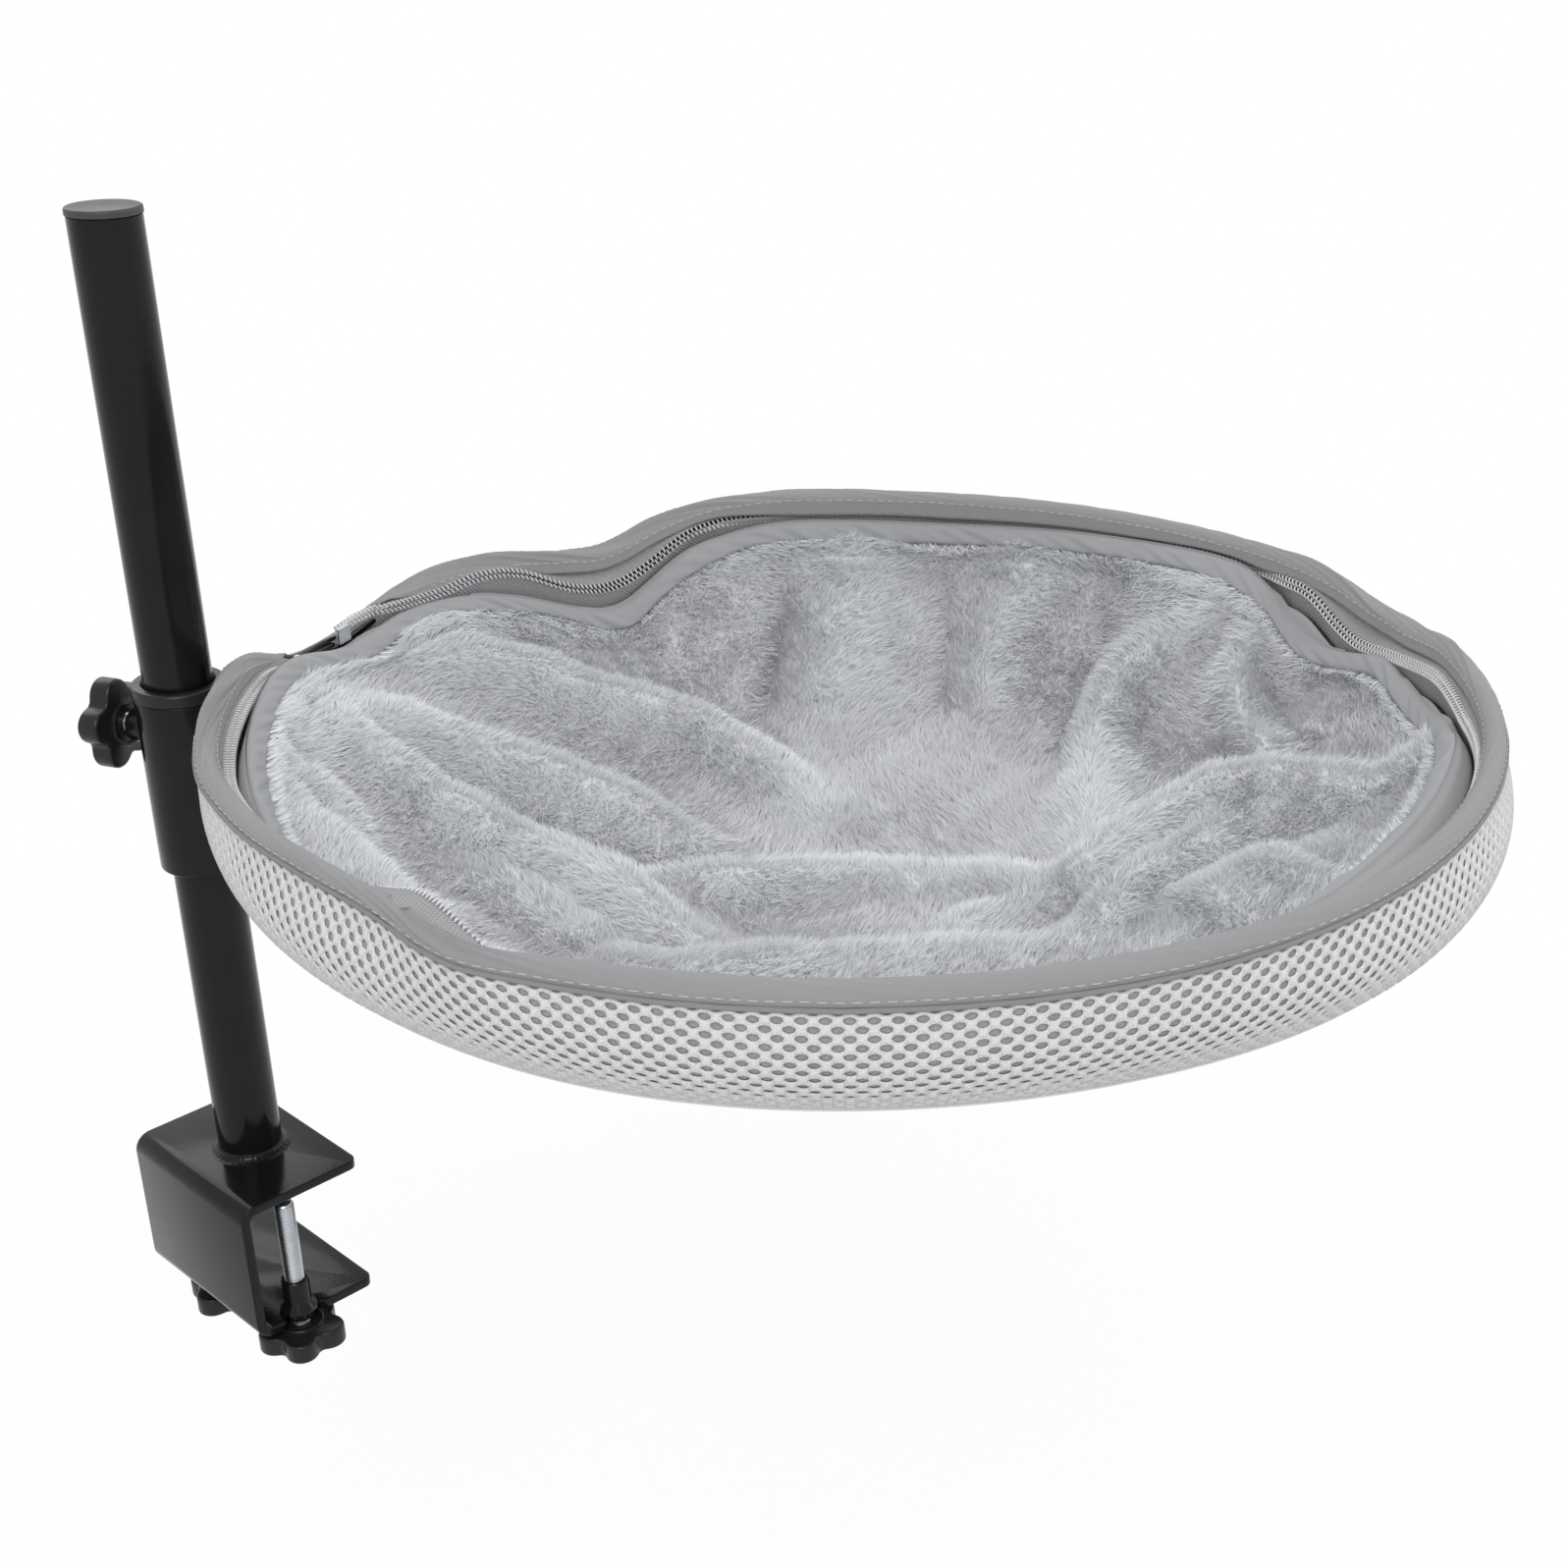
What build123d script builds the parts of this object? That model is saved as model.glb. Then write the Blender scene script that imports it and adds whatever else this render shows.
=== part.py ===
from build123d import *
import math
import os

# Desk cat bed: a C clamp with a pole, a sleeve that slides and swivels on it, and a soft round basket.
# The origin is the centre of the desk face of the upper jaw. +Z runs up the pole, +X out of the
# clamp's throat and +Y across the clamp. All lengths are millimetres and all angles are degrees.

# Driving sizes of the whole bed
jaw_width = 80
jaw_depth = 54
throat_height = 54
plate = 4
pole_radius = 12.5
pole_length = 368
hoop_radius = 222
hoop_tube_radius = 5
hoop_height = 212
bowl_depth = 100
basket_heading = -52.7

# Clearances that several pieces share
overrun = 5
seat_gap = 0.3
touch_gap = 0.1
running_gap = 0.08

# Clamp bracket
bend_radius = 7
jaw_corner_radius = 4
notch_mouth = 15
notch_corner_radius = 2.2

# Pole, its weld and its cap
pole_from_web = 30
pole_wall = 1.5
weld_reach = 4
weld_height = 4.6
cap_lip = 0.3
cap_thickness = 2.5
cap_edge_radius = 1
cap_plug_length = 13
cap_plug_wall = 1.8
cap_rib_count = 3
cap_rib_height = 0.35
cap_rib_width = 1.2

# Clamp screws, their weld nuts and where they stand
screw_radius = 4
screw_from_web = 21
near_screw_inset = 4
far_screw_y = 19
far_screw_drop = 6
screw_in_knob = 8
screw_tip_gap = 2.5
screw_chamfer = 0.8
nut_radius = 5.5
nut_height = 15
nut_collar_radius = 7.5
nut_collar_height = 1.6
nut_cone_height = 3
nut_chamfer = 0.7

# Star knobs, the same on all three screws
knob_radius = 17.5
knob_lobes = 5
knob_lobe_radius = 6.2
knob_core_radius = 13.2
knob_valley_radius = 5
knob_grip = 8.5
knob_edge_radius = 1.4
knob_hub_radius = 9
knob_hub_height = 1.5
knob_ring_radius = 7.6
knob_ring_width = 0.8
knob_ring_depth = 0.5
knob_dish_radius = 8.6
knob_dish_depth = 1.6
knob_dish_button_radius = 5.4
knob_from_jaw = 2
near_knob_turn = 20
far_knob_turn = 52
lock_knob_turn = 8

# Sleeve, its two bushes and the lock screw
sleeve_radius = 16.5
sleeve_wall = 2
sleeve_below_hoop = 11
sleeve_length = 68
bush_flange_radius = 17
bush_flange_height = 5
bush_flange_edge = 1.2
bush_mouth = 1
upper_bush_length = 9.5
lower_bush_length = 16
lock_from_top = 15
lock_heading = 167.5
lock_screw_radius = 4
boss_radius = 6.6
boss_reach = 5.5
boss_edge = 0.8
lock_knob_gap = 2.5
lock_screw_in_knob = 8

# Arm from the sleeve to the hoop
sleeve_to_hoop = 9.5
arm_thickness = 6
arm_foot_height = 19
arm_corner_radius = 2
arm_slot_gap = 1

# Cover of the hoop and the cord along its lower edge
band_gap = 0.3
band_wall = 1.4
band_outer_end = 0.5
band_inner_leg = 3.5
piping_radius = 1

# Bowl of mesh fabric
mesh_thickness = 2.2
mesh_gap = 0.3
bowl_wall_drop = 14
bowl_bend_radius = 32

# Zip round the inside of the rim
tape_thickness = 0.7
tape_strip = 2.2
coil_radius = 1.15
zip_open_from = 165
zip_open_to = 172.5
stop_turn = 0.6
end_box_turn = 2
end_box_wall = 0.6

# Slider and pull of the zip
slider_turn = 174.6
slider_length = 9
slider_wall = 1
slider_lip = 0.45
slider_play = 0.3
crown_length = 6
crown_width = 2.2
crown_rise = 2.4
pin_radius = 0.6
pull_arm_width = 0.9
pull_window_length = 4
pull_length = 15
pull_width = 6
pull_thickness = 1
pull_hole_radius = 1.1

# Binding and plush liner
binding_thickness = 2
binding_height = 8
binding_edge = 0.8
liner_gap = 0.4
liner_thickness = 13.5
fold_radius = 28
fold_sink = 18
crease_radius = 20
crease_rise = 16
# How a fold or a crease swells along its length: shares of the length, each with its share of the radius.
swell_shares = [(0, 0.63), (0.25, 0.93), (0.5, 1), (0.75, 0.93), (1, 0.63)]
# Each fold follows a crest through spots of the liner, written as shares of its inner radius with their
# angles, and has its share of the fold's radius. Creases are written in the same way.
fold_shares = [
    ([(0.96, 155), (0.83, 143), (0.63, 127), (0.32, 106)], 1.0),
    ([(0.96, 173), (0.75, 164), (0.46, 157), (0.30, 154)], 1.0),
    ([(0.96, 183), (0.73, 178), (0.48, 188), (0.31, 218)], 1.0),
    ([(0.95, 193), (0.83, 205), (0.66, 222)], 0.88),
    ([(0.95, 52), (0.79, 57), (0.60, 47), (0.40, 8)], 0.98),
    ([(0.96, 2), (0.76, 15), (0.59, 18), (0.38, -6)], 1.05),
    ([(0.45, 0), (0.23, 18), (0.11, 90), (0.20, 165), (0.42, 186)], 0.9),
    ([(0.78, 10), (0.60, 2), (0.44, -28)], 0.95),
    ([(0.48, -36), (0.35, -46), (0.26, -72), (0.30, -104), (0.47, -130)], 0.95),
]
crease_shares = [
    ([(0.95, 107), (0.84, 108), (0.62, 113)], 1.0),
    ([(0.95, 86), (0.84, 84), (0.62, 82)], 0.97),
    ([(0.95, 65), (0.82, 63), (0.62, 57)], 1.0),
]

# Places worked out from the sizes
full_turn = 360
half_turn = full_turn / 2
web_face = -jaw_depth / 2
lower_jaw_top = -throat_height
lower_jaw_face = -throat_height - plate
pole_x = web_face + pole_from_web
pole_top = plate + pole_length
screw_x = web_face + screw_from_web
near_screw_y = -jaw_width / 2 + near_screw_inset
knob_height = knob_grip + knob_hub_height
sleeve_bore = sleeve_radius - sleeve_wall
sleeve_top = hoop_height - sleeve_below_hoop
lock_height = sleeve_top - lock_from_top
pole_to_hoop = sleeve_radius + sleeve_to_hoop
bowl_radius = hoop_radius + hoop_tube_radius + mesh_gap + mesh_thickness
cover_inner = hoop_tube_radius + band_gap
cover_outer = cover_inner + band_wall
tape_face = hoop_radius - cover_outer
coil_ring = tape_face - tape_thickness / 2 + coil_radius / 2
upper_tape_top = -band_inner_leg
upper_coil = upper_tape_top - tape_strip - touch_gap - coil_radius
lower_coil = upper_coil - touch_gap - 2 * coil_radius
lower_tape_top = lower_coil - coil_radius - touch_gap
zip_middle = (upper_coil + lower_coil) / 2
zip_arc = full_turn - (zip_open_to - zip_open_from)
slider_inner = coil_ring - coil_radius - slider_play
slider_half_height = coil_radius + (upper_coil - lower_coil) / 2 + slider_play + slider_lip
binding_top = zip_middle - slider_half_height - seat_gap
liner_top = binding_top - binding_height - seat_gap
pull_hinge_radius = slider_inner - slider_wall - crown_rise / 2


def on_pole(shape):
    """Move a shape from the pole's own frame, +X towards the basket, to its place."""
    return Pos(pole_x, 0, 0) * Rot(0, 0, basket_heading) * shape


def in_basket(shape):
    """Move a shape from the hoop's own frame, +X away from the pole, to its place."""
    return on_pole(Pos(pole_to_hoop + hoop_radius, 0, hoop_height) * shape)


def ring(section, start=0, arc=full_turn):
    """Turn a section drawn in radius and height about the Z axis."""
    return Rot(0, 0, start) * revolve(Plane.XZ * section, axis=Axis.Z, revolution_arc=arc)


def block(low_x, high_x, low_z, high_z):
    """A rectangle between two radii and two heights."""
    middle = Pos((low_x + high_x) / 2, (low_z + high_z) / 2)
    return middle * Rectangle(high_x - low_x, high_z - low_z)


def disc(radius, low, high):
    """A cylinder on the Z axis between two heights."""
    return Pos(0, 0, (low + high) / 2) * Cylinder(radius, high - low)


def screw_places():
    """Where the two clamp screws stand, with how far each is unscrewed and how its knob is turned."""
    return {
        "near": (near_screw_y, 0, near_knob_turn),
        "far": (far_screw_y, far_screw_drop, far_knob_turn),
    }


def clamp_bracket():
    """The bent C plate, with a notch for the near nut and a round hole for the far one."""
    height = throat_height + 2 * plate
    bar = Pos(0, 0, plate - height / 2) * Box(jaw_depth, jaw_width, height)
    throat = Pos(plate, 0, -throat_height / 2) * Box(jaw_depth, jaw_width + overrun, throat_height)
    body = bar - throat
    across = body.edges().filter_by(Axis.Y).group_by(Axis.X)
    body = fillet(across[0], bend_radius)
    across = body.edges().filter_by(Axis.Y).filter_by(lambda edge: -throat_height <= edge.center().Z <= 0)
    inner_bends = across.filter_by(lambda edge: edge.center().X < 0)
    body = fillet(inner_bends, bend_radius - plate)
    tips = body.edges().filter_by(Axis.Z).group_by(Axis.X)[-1]
    body = fillet(tips, jaw_corner_radius)
    nut_hole = nut_radius + touch_gap
    edge_y = -jaw_width / 2
    slot = make_face(
        Polyline(
            (screw_x - nut_hole, near_screw_y),
            (screw_x + nut_hole, near_screw_y),
            (screw_x + notch_mouth / 2, edge_y),
            (screw_x + notch_mouth / 2, edge_y - overrun),
            (screw_x - notch_mouth / 2, edge_y - overrun),
            (screw_x - notch_mouth / 2, edge_y),
            close=True,
        )
    )
    slot = slot + Pos(screw_x, near_screw_y) * Circle(nut_hole)
    cut = Pos(0, 0, lower_jaw_face - overrun) * extrude(slot, plate + 2 * overrun)
    cut = cut + Pos(screw_x, far_screw_y, lower_jaw_face) * Cylinder(nut_hole, 2 * plate + overrun)
    body = body - cut
    mouth = body.edges().filter_by(Axis.Z).filter_by(
        lambda edge: abs(edge.center().Y - edge_y) < touch_gap and abs(edge.center().X - screw_x) < notch_mouth
    )
    return fillet(mouth, notch_corner_radius)


def weld_nut():
    """A round weld nut with a coned collar, its axis on Z and its barrel flush with the lower jaw."""
    bore = screw_radius + running_gap
    collar_top = lower_jaw_top + nut_collar_height
    cone_top = collar_top + nut_cone_height
    top = lower_jaw_top + nut_height
    outline = Polyline(
        (bore, lower_jaw_face),
        (nut_radius, lower_jaw_face),
        (nut_radius, lower_jaw_top),
        (nut_collar_radius, lower_jaw_top),
        (nut_collar_radius, collar_top),
        (nut_radius, cone_top),
        (nut_radius, top - nut_chamfer),
        (nut_radius - nut_chamfer, top),
        (bore, top),
        close=True,
    )
    return ring(make_face(outline))


def weld_nuts():
    """The two nuts, one for each clamp screw."""
    return [Pos(screw_x, place[0], 0) * weld_nut() for place in screw_places().values()]


def pole_tube():
    """The steel tube that stands on the upper jaw."""
    return Pos(pole_x, 0, 0) * ring(block(pole_radius - pole_wall, pole_radius, plate, pole_top))


def pole_weld():
    """The hollow fillet of weld round the foot of the pole."""
    outer = pole_radius + weld_reach
    waist = pole_radius + weld_reach / 3
    face = make_face([
        Line((pole_radius, plate), (outer, plate)),
        ThreePointArc((outer, plate), (waist, plate + weld_height / 3), (pole_radius, plate + weld_height)),
        Line((pole_radius, plate + weld_height), (pole_radius, plate)),
    ])
    return Pos(pole_x, 0, 0) * ring(face)


def pole_cap():
    """The moulded plug in the top of the pole, with its lip, hollow plug and gripping ribs."""
    bore = pole_radius - pole_wall
    plug = bore - cap_rib_height - touch_gap / 2
    lip = fillet(disc(pole_radius + cap_lip, pole_top, pole_top + cap_thickness).edges().group_by(Axis.Z)[-1],
                 cap_edge_radius)
    body = lip + ring(block(plug - cap_plug_wall, plug, pole_top - cap_plug_length, pole_top))
    pitch = cap_plug_length / (cap_rib_count + 1)
    for index in range(cap_rib_count):
        low = pole_top - (index + 1) * pitch
        rib = block(plug - cap_rib_height, plug + cap_rib_height, low - cap_rib_width / 2, low + cap_rib_width / 2)
        body = body + ring(rib)
    return Pos(pole_x, 0, 0) * body


def star_knob(screw_depth, screw_hole):
    """A star knob on the Z axis, hub upwards at zero height, with a blind hole for its screw."""
    lobe_circle = knob_radius - knob_lobe_radius
    outline = Sketch() + Circle(knob_core_radius)
    outline = outline + [place * Circle(knob_lobe_radius) for place in PolarLocations(lobe_circle, knob_lobes)]
    outline = fillet(outline.vertices(), knob_valley_radius)
    grip = Pos(0, 0, -knob_height) * extrude(outline, knob_grip)
    rims = grip.edges().group_by(Axis.Z)
    grip = fillet(rims[0] + rims[-1], knob_edge_radius)
    knob = grip + disc(knob_hub_radius, -knob_height / 2, 0)
    groove = block(knob_ring_radius - knob_ring_width, knob_ring_radius, -knob_ring_depth, overrun)
    dish = block(knob_dish_button_radius, knob_dish_radius, -knob_height - overrun, knob_dish_depth - knob_height)
    knob = knob - ring(groove) - ring(dish)
    return knob - disc(screw_hole, -screw_depth - touch_gap, overrun)


def threaded_rod(length, radius):
    """A rod up from zero height along Z, with both ends chamfered."""
    rod = disc(radius, 0, length)
    ends = rod.edges().group_by(Axis.Z)
    return chamfer(ends[0] + ends[-1], screw_chamfer)


def clamp_screw(place):
    """One clamp screw, from just under the upper jaw down into its knob."""
    side, drop, turn = place
    low = lower_jaw_face - knob_from_jaw - screw_in_knob - drop
    high = -screw_tip_gap - drop
    return Pos(screw_x, side, low) * threaded_rod(high - low, screw_radius)


def clamp_knob(place):
    """The star knob on one clamp screw."""
    side, drop, turn = place
    knob = star_knob(screw_in_knob, screw_radius + running_gap)
    return Pos(screw_x, side, lower_jaw_face - knob_from_jaw - drop) * Rot(0, 0, turn) * knob


def upper_bush():
    """The flanged bush at the top of the sleeve."""
    bore = pole_radius + running_gap
    barrel = sleeve_bore - running_gap
    low = sleeve_top + touch_gap
    top = low + bush_flange_height
    body = ring(block(bore, barrel, sleeve_top - upper_bush_length, top))
    flange = ring(block(bore, bush_flange_radius, low, top))
    edges = flange.edges().group_by(Axis.Z)
    flange = fillet(edges[-1].sort_by(SortBy.LENGTH)[-1:], bush_flange_edge)
    mouth = make_face(Polyline((bore, top), (bore + bush_mouth, top), (bore, top - bush_mouth), close=True))
    return on_pole(body + flange - ring(mouth))


def lower_bush():
    """The plain bush at the foot of the sleeve."""
    low = sleeve_top - sleeve_length + touch_gap
    section = block(pole_radius + running_gap, sleeve_bore - running_gap, low, low + lower_bush_length)
    return on_pole(ring(section))


def lock_frame(shape):
    """Lay a Z-axis shape along the lock screw's axis, zero height at the pole's axis."""
    return on_pole(Pos(0, 0, lock_height) * Rot(0, 0, lock_heading) * Rot(0, 90, 0) * shape)


def sleeve():
    """The sleeve on the pole, drilled for the lock screw."""
    tube = on_pole(ring(block(sleeve_bore, sleeve_radius, sleeve_top - sleeve_length, sleeve_top)))
    return tube - lock_frame(disc(lock_screw_radius + running_gap, 0, sleeve_radius + overrun))


def lock_boss():
    """The round nut that is welded to the sleeve for the lock screw."""
    top = sleeve_radius + boss_reach
    boss = disc(boss_radius, sleeve_bore, top)
    boss = fillet(boss.edges().group_by(Axis.Z)[-1], boss_edge)
    boss = lock_frame(boss - disc(lock_screw_radius + running_gap, 0, top + overrun))
    return boss - on_pole(disc(sleeve_radius, sleeve_top - sleeve_length, sleeve_top))


def lock_screw():
    """The lock screw, its tip just clear of the pole."""
    low = pole_radius + seat_gap
    high = sleeve_radius + boss_reach + lock_knob_gap + lock_screw_in_knob
    return lock_frame(Pos(0, 0, low) * threaded_rod(high - low, lock_screw_radius))


def lock_knob():
    """The star knob on the lock screw, hub towards the pole."""
    knob = star_knob(lock_screw_in_knob, lock_screw_radius + running_gap)
    hub = sleeve_radius + boss_reach + lock_knob_gap
    return lock_frame(Pos(0, 0, hub) * Rot(0, 180, 0) * Rot(0, 0, lock_knob_turn) * knob)


def hoop():
    """The steel ring inside the rim."""
    return in_basket(ring(Pos(hoop_radius, 0) * Circle(hoop_tube_radius)))


def hoop_arm():
    """The plate from the sleeve's side up to the hoop, which rests in its cradle."""
    foot_top = sleeve_top - hoop_height - touch_gap
    foot_low = foot_top - arm_foot_height
    sleeve_side = hoop_radius + pole_to_hoop - sleeve_radius
    above_sleeve = hoop_radius + pole_to_hoop - bush_flange_radius - 2 * seat_gap
    hoop_low = -hoop_tube_radius
    plate_face = make_face(Polyline(
        (sleeve_side + sleeve_wall / 2, foot_low),
        (sleeve_side + sleeve_wall / 2, foot_top),
        (above_sleeve, foot_top),
        (above_sleeve, -band_outer_end - piping_radius),
        (hoop_radius, -band_outer_end - piping_radius),
        (hoop_radius - hoop_tube_radius / 2, hoop_low),
        (hoop_radius - hoop_tube_radius / 2, hoop_low - arm_thickness),
        (hoop_radius + hoop_tube_radius, hoop_low - 2 * arm_thickness),
        close=True,
    ))
    arm = Plane.XZ * plate_face
    arm = extrude(arm, arm_thickness / 2, both=True)
    arm = Rot(0, 0, half_turn) * arm
    arm = arm - ring(Pos(hoop_radius, 0) * Circle(hoop_tube_radius), half_turn - overrun, 2 * overrun)
    return in_basket(arm) - on_pole(disc(sleeve_radius, sleeve_top - sleeve_length, sleeve_top))


def arm_slot():
    """The room that the cover and the mesh leave for the arm, in the hoop's frame."""
    low = sleeve_top - hoop_height - arm_foot_height - 2 * arm_slot_gap
    size = arm_thickness + 2 * arm_slot_gap
    middle = Pos(-bowl_radius, 0, (low - band_outer_end) / 2)
    return middle * Box(4 * size, size, -low - band_outer_end)


def rim_band():
    """The fabric cover of the hoop, open below, with an outer edge and a longer inner leg."""
    slack = math.degrees(math.asin(band_outer_end / cover_outer))
    outer = CenterArc((0, 0), cover_outer, -slack, half_turn + slack)
    inner = CenterArc((0, 0), cover_inner, -slack, half_turn + slack)
    face = make_face([
        outer,
        Line(outer @ 1, (-cover_outer, -band_inner_leg)),
        Line((-cover_outer, -band_inner_leg), (-cover_inner, -band_inner_leg)),
        Line((-cover_inner, -band_inner_leg), inner @ 1),
        inner,
        Line(inner @ 0, outer @ 0),
    ])
    return in_basket(ring(Pos(hoop_radius, 0) * face))


def rim_piping():
    """The cord sewn along the cover's lower edge, cut where the arm passes."""
    height = -band_outer_end - touch_gap - piping_radius
    cord = ring(Pos(hoop_radius + cover_outer, height) * Circle(piping_radius))
    return in_basket(cord - arm_slot())


def bowl_floor_radius():
    """The radius of the bowl's shallow floor, which meets the bend round its edge smoothly."""
    across = bowl_radius - bowl_bend_radius
    drop = bowl_depth - bowl_wall_drop
    return (across ** 2 + drop ** 2 - bowl_bend_radius ** 2) / (2 * (drop - bowl_bend_radius))


def bowl_curve(depth):
    """The bowl's wall, bend and floor as a line and two arcs, at a depth below its outer surface."""
    bend_x = bowl_radius - bowl_bend_radius
    floor_z = bowl_floor_radius() - bowl_depth
    lean = math.degrees(math.atan2(-bowl_wall_drop - floor_z, bend_x))
    return [
        Line((bowl_radius - depth, 0), (bowl_radius - depth, -bowl_wall_drop)),
        CenterArc((bend_x, -bowl_wall_drop), bowl_bend_radius - depth, lean, -lean),
        CenterArc((0, floor_z), bowl_floor_radius() - depth, -90, 90 + lean),
    ]


def bowl_layer(outer, inner, top):
    """A layer of the bowl between two depths below its outer surface, cut off level at its top."""
    edges = bowl_curve(outer) + bowl_curve(inner)
    edges.append(Line((bowl_radius - outer, 0), (bowl_radius - inner, 0)))
    edges.append(Line((0, outer - bowl_depth), (0, inner - bowl_depth)))
    return ring(make_face(edges)) - disc(bowl_radius + overrun, top, overrun)


def bowl_space(depth):
    """All the room inside the bowl above a depth below its outer surface."""
    edges = bowl_curve(depth)
    edges.append(Line((bowl_radius - depth, 0), (0, 0)))
    edges.append(Line((0, 0), (0, depth - bowl_depth)))
    return ring(make_face(edges))


def mesh_shell():
    """The bowl of thick air mesh that hangs from the rim."""
    top = -band_outer_end - 2 * touch_gap - 2 * piping_radius
    return in_basket(bowl_layer(0, mesh_thickness, top) - arm_slot())


def zip_tapes():
    """The two woven tapes of the zip."""
    tapes = []
    for top in (upper_tape_top, lower_tape_top):
        section = block(tape_face, tape_face + tape_thickness, top - tape_strip, top)
        tapes.append(in_basket(ring(section, zip_open_to, zip_arc)))
    return tapes


def zip_coils():
    """The two closed coils of the zip."""
    coils = []
    for height in (upper_coil, lower_coil):
        coils.append(in_basket(ring(Pos(coil_ring, height) * Circle(coil_radius), zip_open_to, zip_arc)))
    return coils


def zip_stops():
    """The box at one end of the zip and the crimped stop at the other, both clasping the coils."""
    half_height = coil_radius + (upper_coil - lower_coil) / 2 + touch_gap
    outside = half_height + end_box_wall
    inside = coil_ring - coil_radius - touch_gap
    reach = tape_face - touch_gap
    shell = block(inside - end_box_wall, reach, zip_middle - outside, zip_middle + outside)
    clasp = shell - block(inside, reach + overrun, zip_middle - half_height, zip_middle + half_height)
    return in_basket(ring(clasp, zip_open_from - end_box_turn, end_box_turn) + ring(clasp, zip_open_to, stop_turn))


def slider_frame(shape):
    """Place a shape drawn at the slider: X back along the zip, Y towards the basket's middle, Z up."""
    spot = Pos(0, -pull_hinge_radius, zip_middle)
    return in_basket(Rot(0, 0, slider_turn + 90) * spot * shape)


def zip_slider():
    """The slider: a saddle over both coils, with lips at its edges and an arched crown."""
    angle = math.degrees(slider_length / slider_inner)
    reach = tape_face - slider_play
    outside = slider_inner - slider_wall
    saddle = block(outside, reach, zip_middle - slider_half_height, zip_middle + slider_half_height)
    inside = slider_half_height - slider_lip
    saddle = saddle - block(slider_inner, reach + overrun, zip_middle - inside, zip_middle + inside)
    body = in_basket(ring(saddle, slider_turn - angle / 2, angle))
    arch = Pos(0, -seat_gap / 2, 0) * Box(crown_length, crown_rise + seat_gap, crown_width)
    arch = fillet(arch.edges().filter_by(Axis.Z).group_by(Axis.Y)[-1], crown_rise / 3)
    arch = arch - Cylinder(pin_radius + running_gap, crown_width + overrun)
    return body + slider_frame(arch)


def zip_pull():
    """The pull: a pin through the crown, two arms beside it and a tab with a round end and a hole."""
    arm_out = crown_width / 2 + seat_gap + pull_arm_width
    pin = Cylinder(pin_radius, 2 * arm_out)
    plate_face = block(-pull_thickness / 2, pull_window_length + pull_thickness, -arm_out, arm_out)
    tab = SlotOverall(pull_length - pull_window_length, pull_width)
    plate_face = plate_face + Pos((pull_length + pull_window_length) / 2, 0) * tab
    window = block(-overrun, pull_window_length, pull_arm_width - arm_out, arm_out - pull_arm_width)
    plate_face = plate_face - window
    plate_face = plate_face - Pos(pull_length - pull_width / 2, 0) * Circle(pull_hole_radius)
    plate_body = extrude(Plane.XZ * plate_face, pull_thickness / 2, both=True)
    return slider_frame(plate_body + pin)


def liner_binding():
    """The padded binding along the liner's upper edge, on the lower tape of the zip."""
    section = RectangleRounded(binding_thickness, binding_height, binding_edge)
    middle = Pos(tape_face - touch_gap - binding_thickness / 2, binding_top - binding_height / 2)
    return in_basket(ring(middle * section))


def liner_line(spots, lift):
    """A smooth line through spots of the liner's face, raised above it or sunk into it."""
    depth = mesh_thickness + liner_gap + liner_thickness
    points = []
    for share, angle in spots:
        radius = share * (bowl_radius - depth)
        face = bowl_floor_radius() - bowl_depth - math.sqrt((bowl_floor_radius() - depth) ** 2 - radius ** 2)
        turn = math.radians(angle)
        points.append((radius * math.cos(turn), radius * math.sin(turn), face + lift))
    return Spline(*points)


def swelling(line, radius):
    """A round swelling along a line, full in its middle and thin at both ends."""
    sections = [
        Plane(origin=line @ along, z_dir=line % along) * Circle(radius * share) for along, share in swell_shares
    ]
    return sweep(sections, path=line, multisection=True)


def plush_liner():
    """The plush lining of the bowl, with its main folds."""
    outer = mesh_thickness + liner_gap
    body = bowl_layer(outer, outer + liner_thickness, liner_top)
    room = bowl_space(outer + liner_thickness / 2)
    for spots, share in fold_shares:
        body = body + (swelling(liner_line(spots, -fold_sink), fold_radius * share) & room)
    for spots, share in crease_shares:
        body = body - swelling(liner_line(spots, crease_rise), crease_radius * share)
    return in_basket(body)


def sub_parts():
    """Every separate piece of the bed, by the name of its file."""
    parts = {
        "clamp_bracket": clamp_bracket(),
        "weld_nuts": weld_nuts(),
        "pole_tube": pole_tube(),
        "pole_weld": pole_weld(),
        "pole_cap": pole_cap(),
        "bush_upper": upper_bush(),
        "bush_lower": lower_bush(),
        "sleeve": sleeve(),
        "lock_boss": lock_boss(),
        "lock_screw": lock_screw(),
        "lock_knob": lock_knob(),
        "hoop": hoop(),
        "hoop_arm": hoop_arm(),
        "rim_band": rim_band(),
        "rim_piping": rim_piping(),
        "mesh_shell": mesh_shell(),
        "zip_tapes": zip_tapes(),
        "zip_coils": zip_coils(),
        "zip_stops": zip_stops(),
        "zip_slider": zip_slider(),
        "zip_pull": zip_pull(),
        "liner_binding": liner_binding(),
        "plush_liner": plush_liner(),
    }
    for name, place in screw_places().items():
        parts[f"clamp_screw_{name}"] = clamp_screw(place)
        parts[f"clamp_knob_{name}"] = clamp_knob(place)
    return parts


os.makedirs("parts", exist_ok=True)
for name, shape in sub_parts().items():
    solids = shape if isinstance(shape, list) else shape.solids()
    export_step(Compound(children=list(solids)), f"parts/{name}.step")
    print(name, len(solids))
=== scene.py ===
import bpy
import bmesh
import math
import numpy as np
from mathutils import Matrix, Vector


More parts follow.
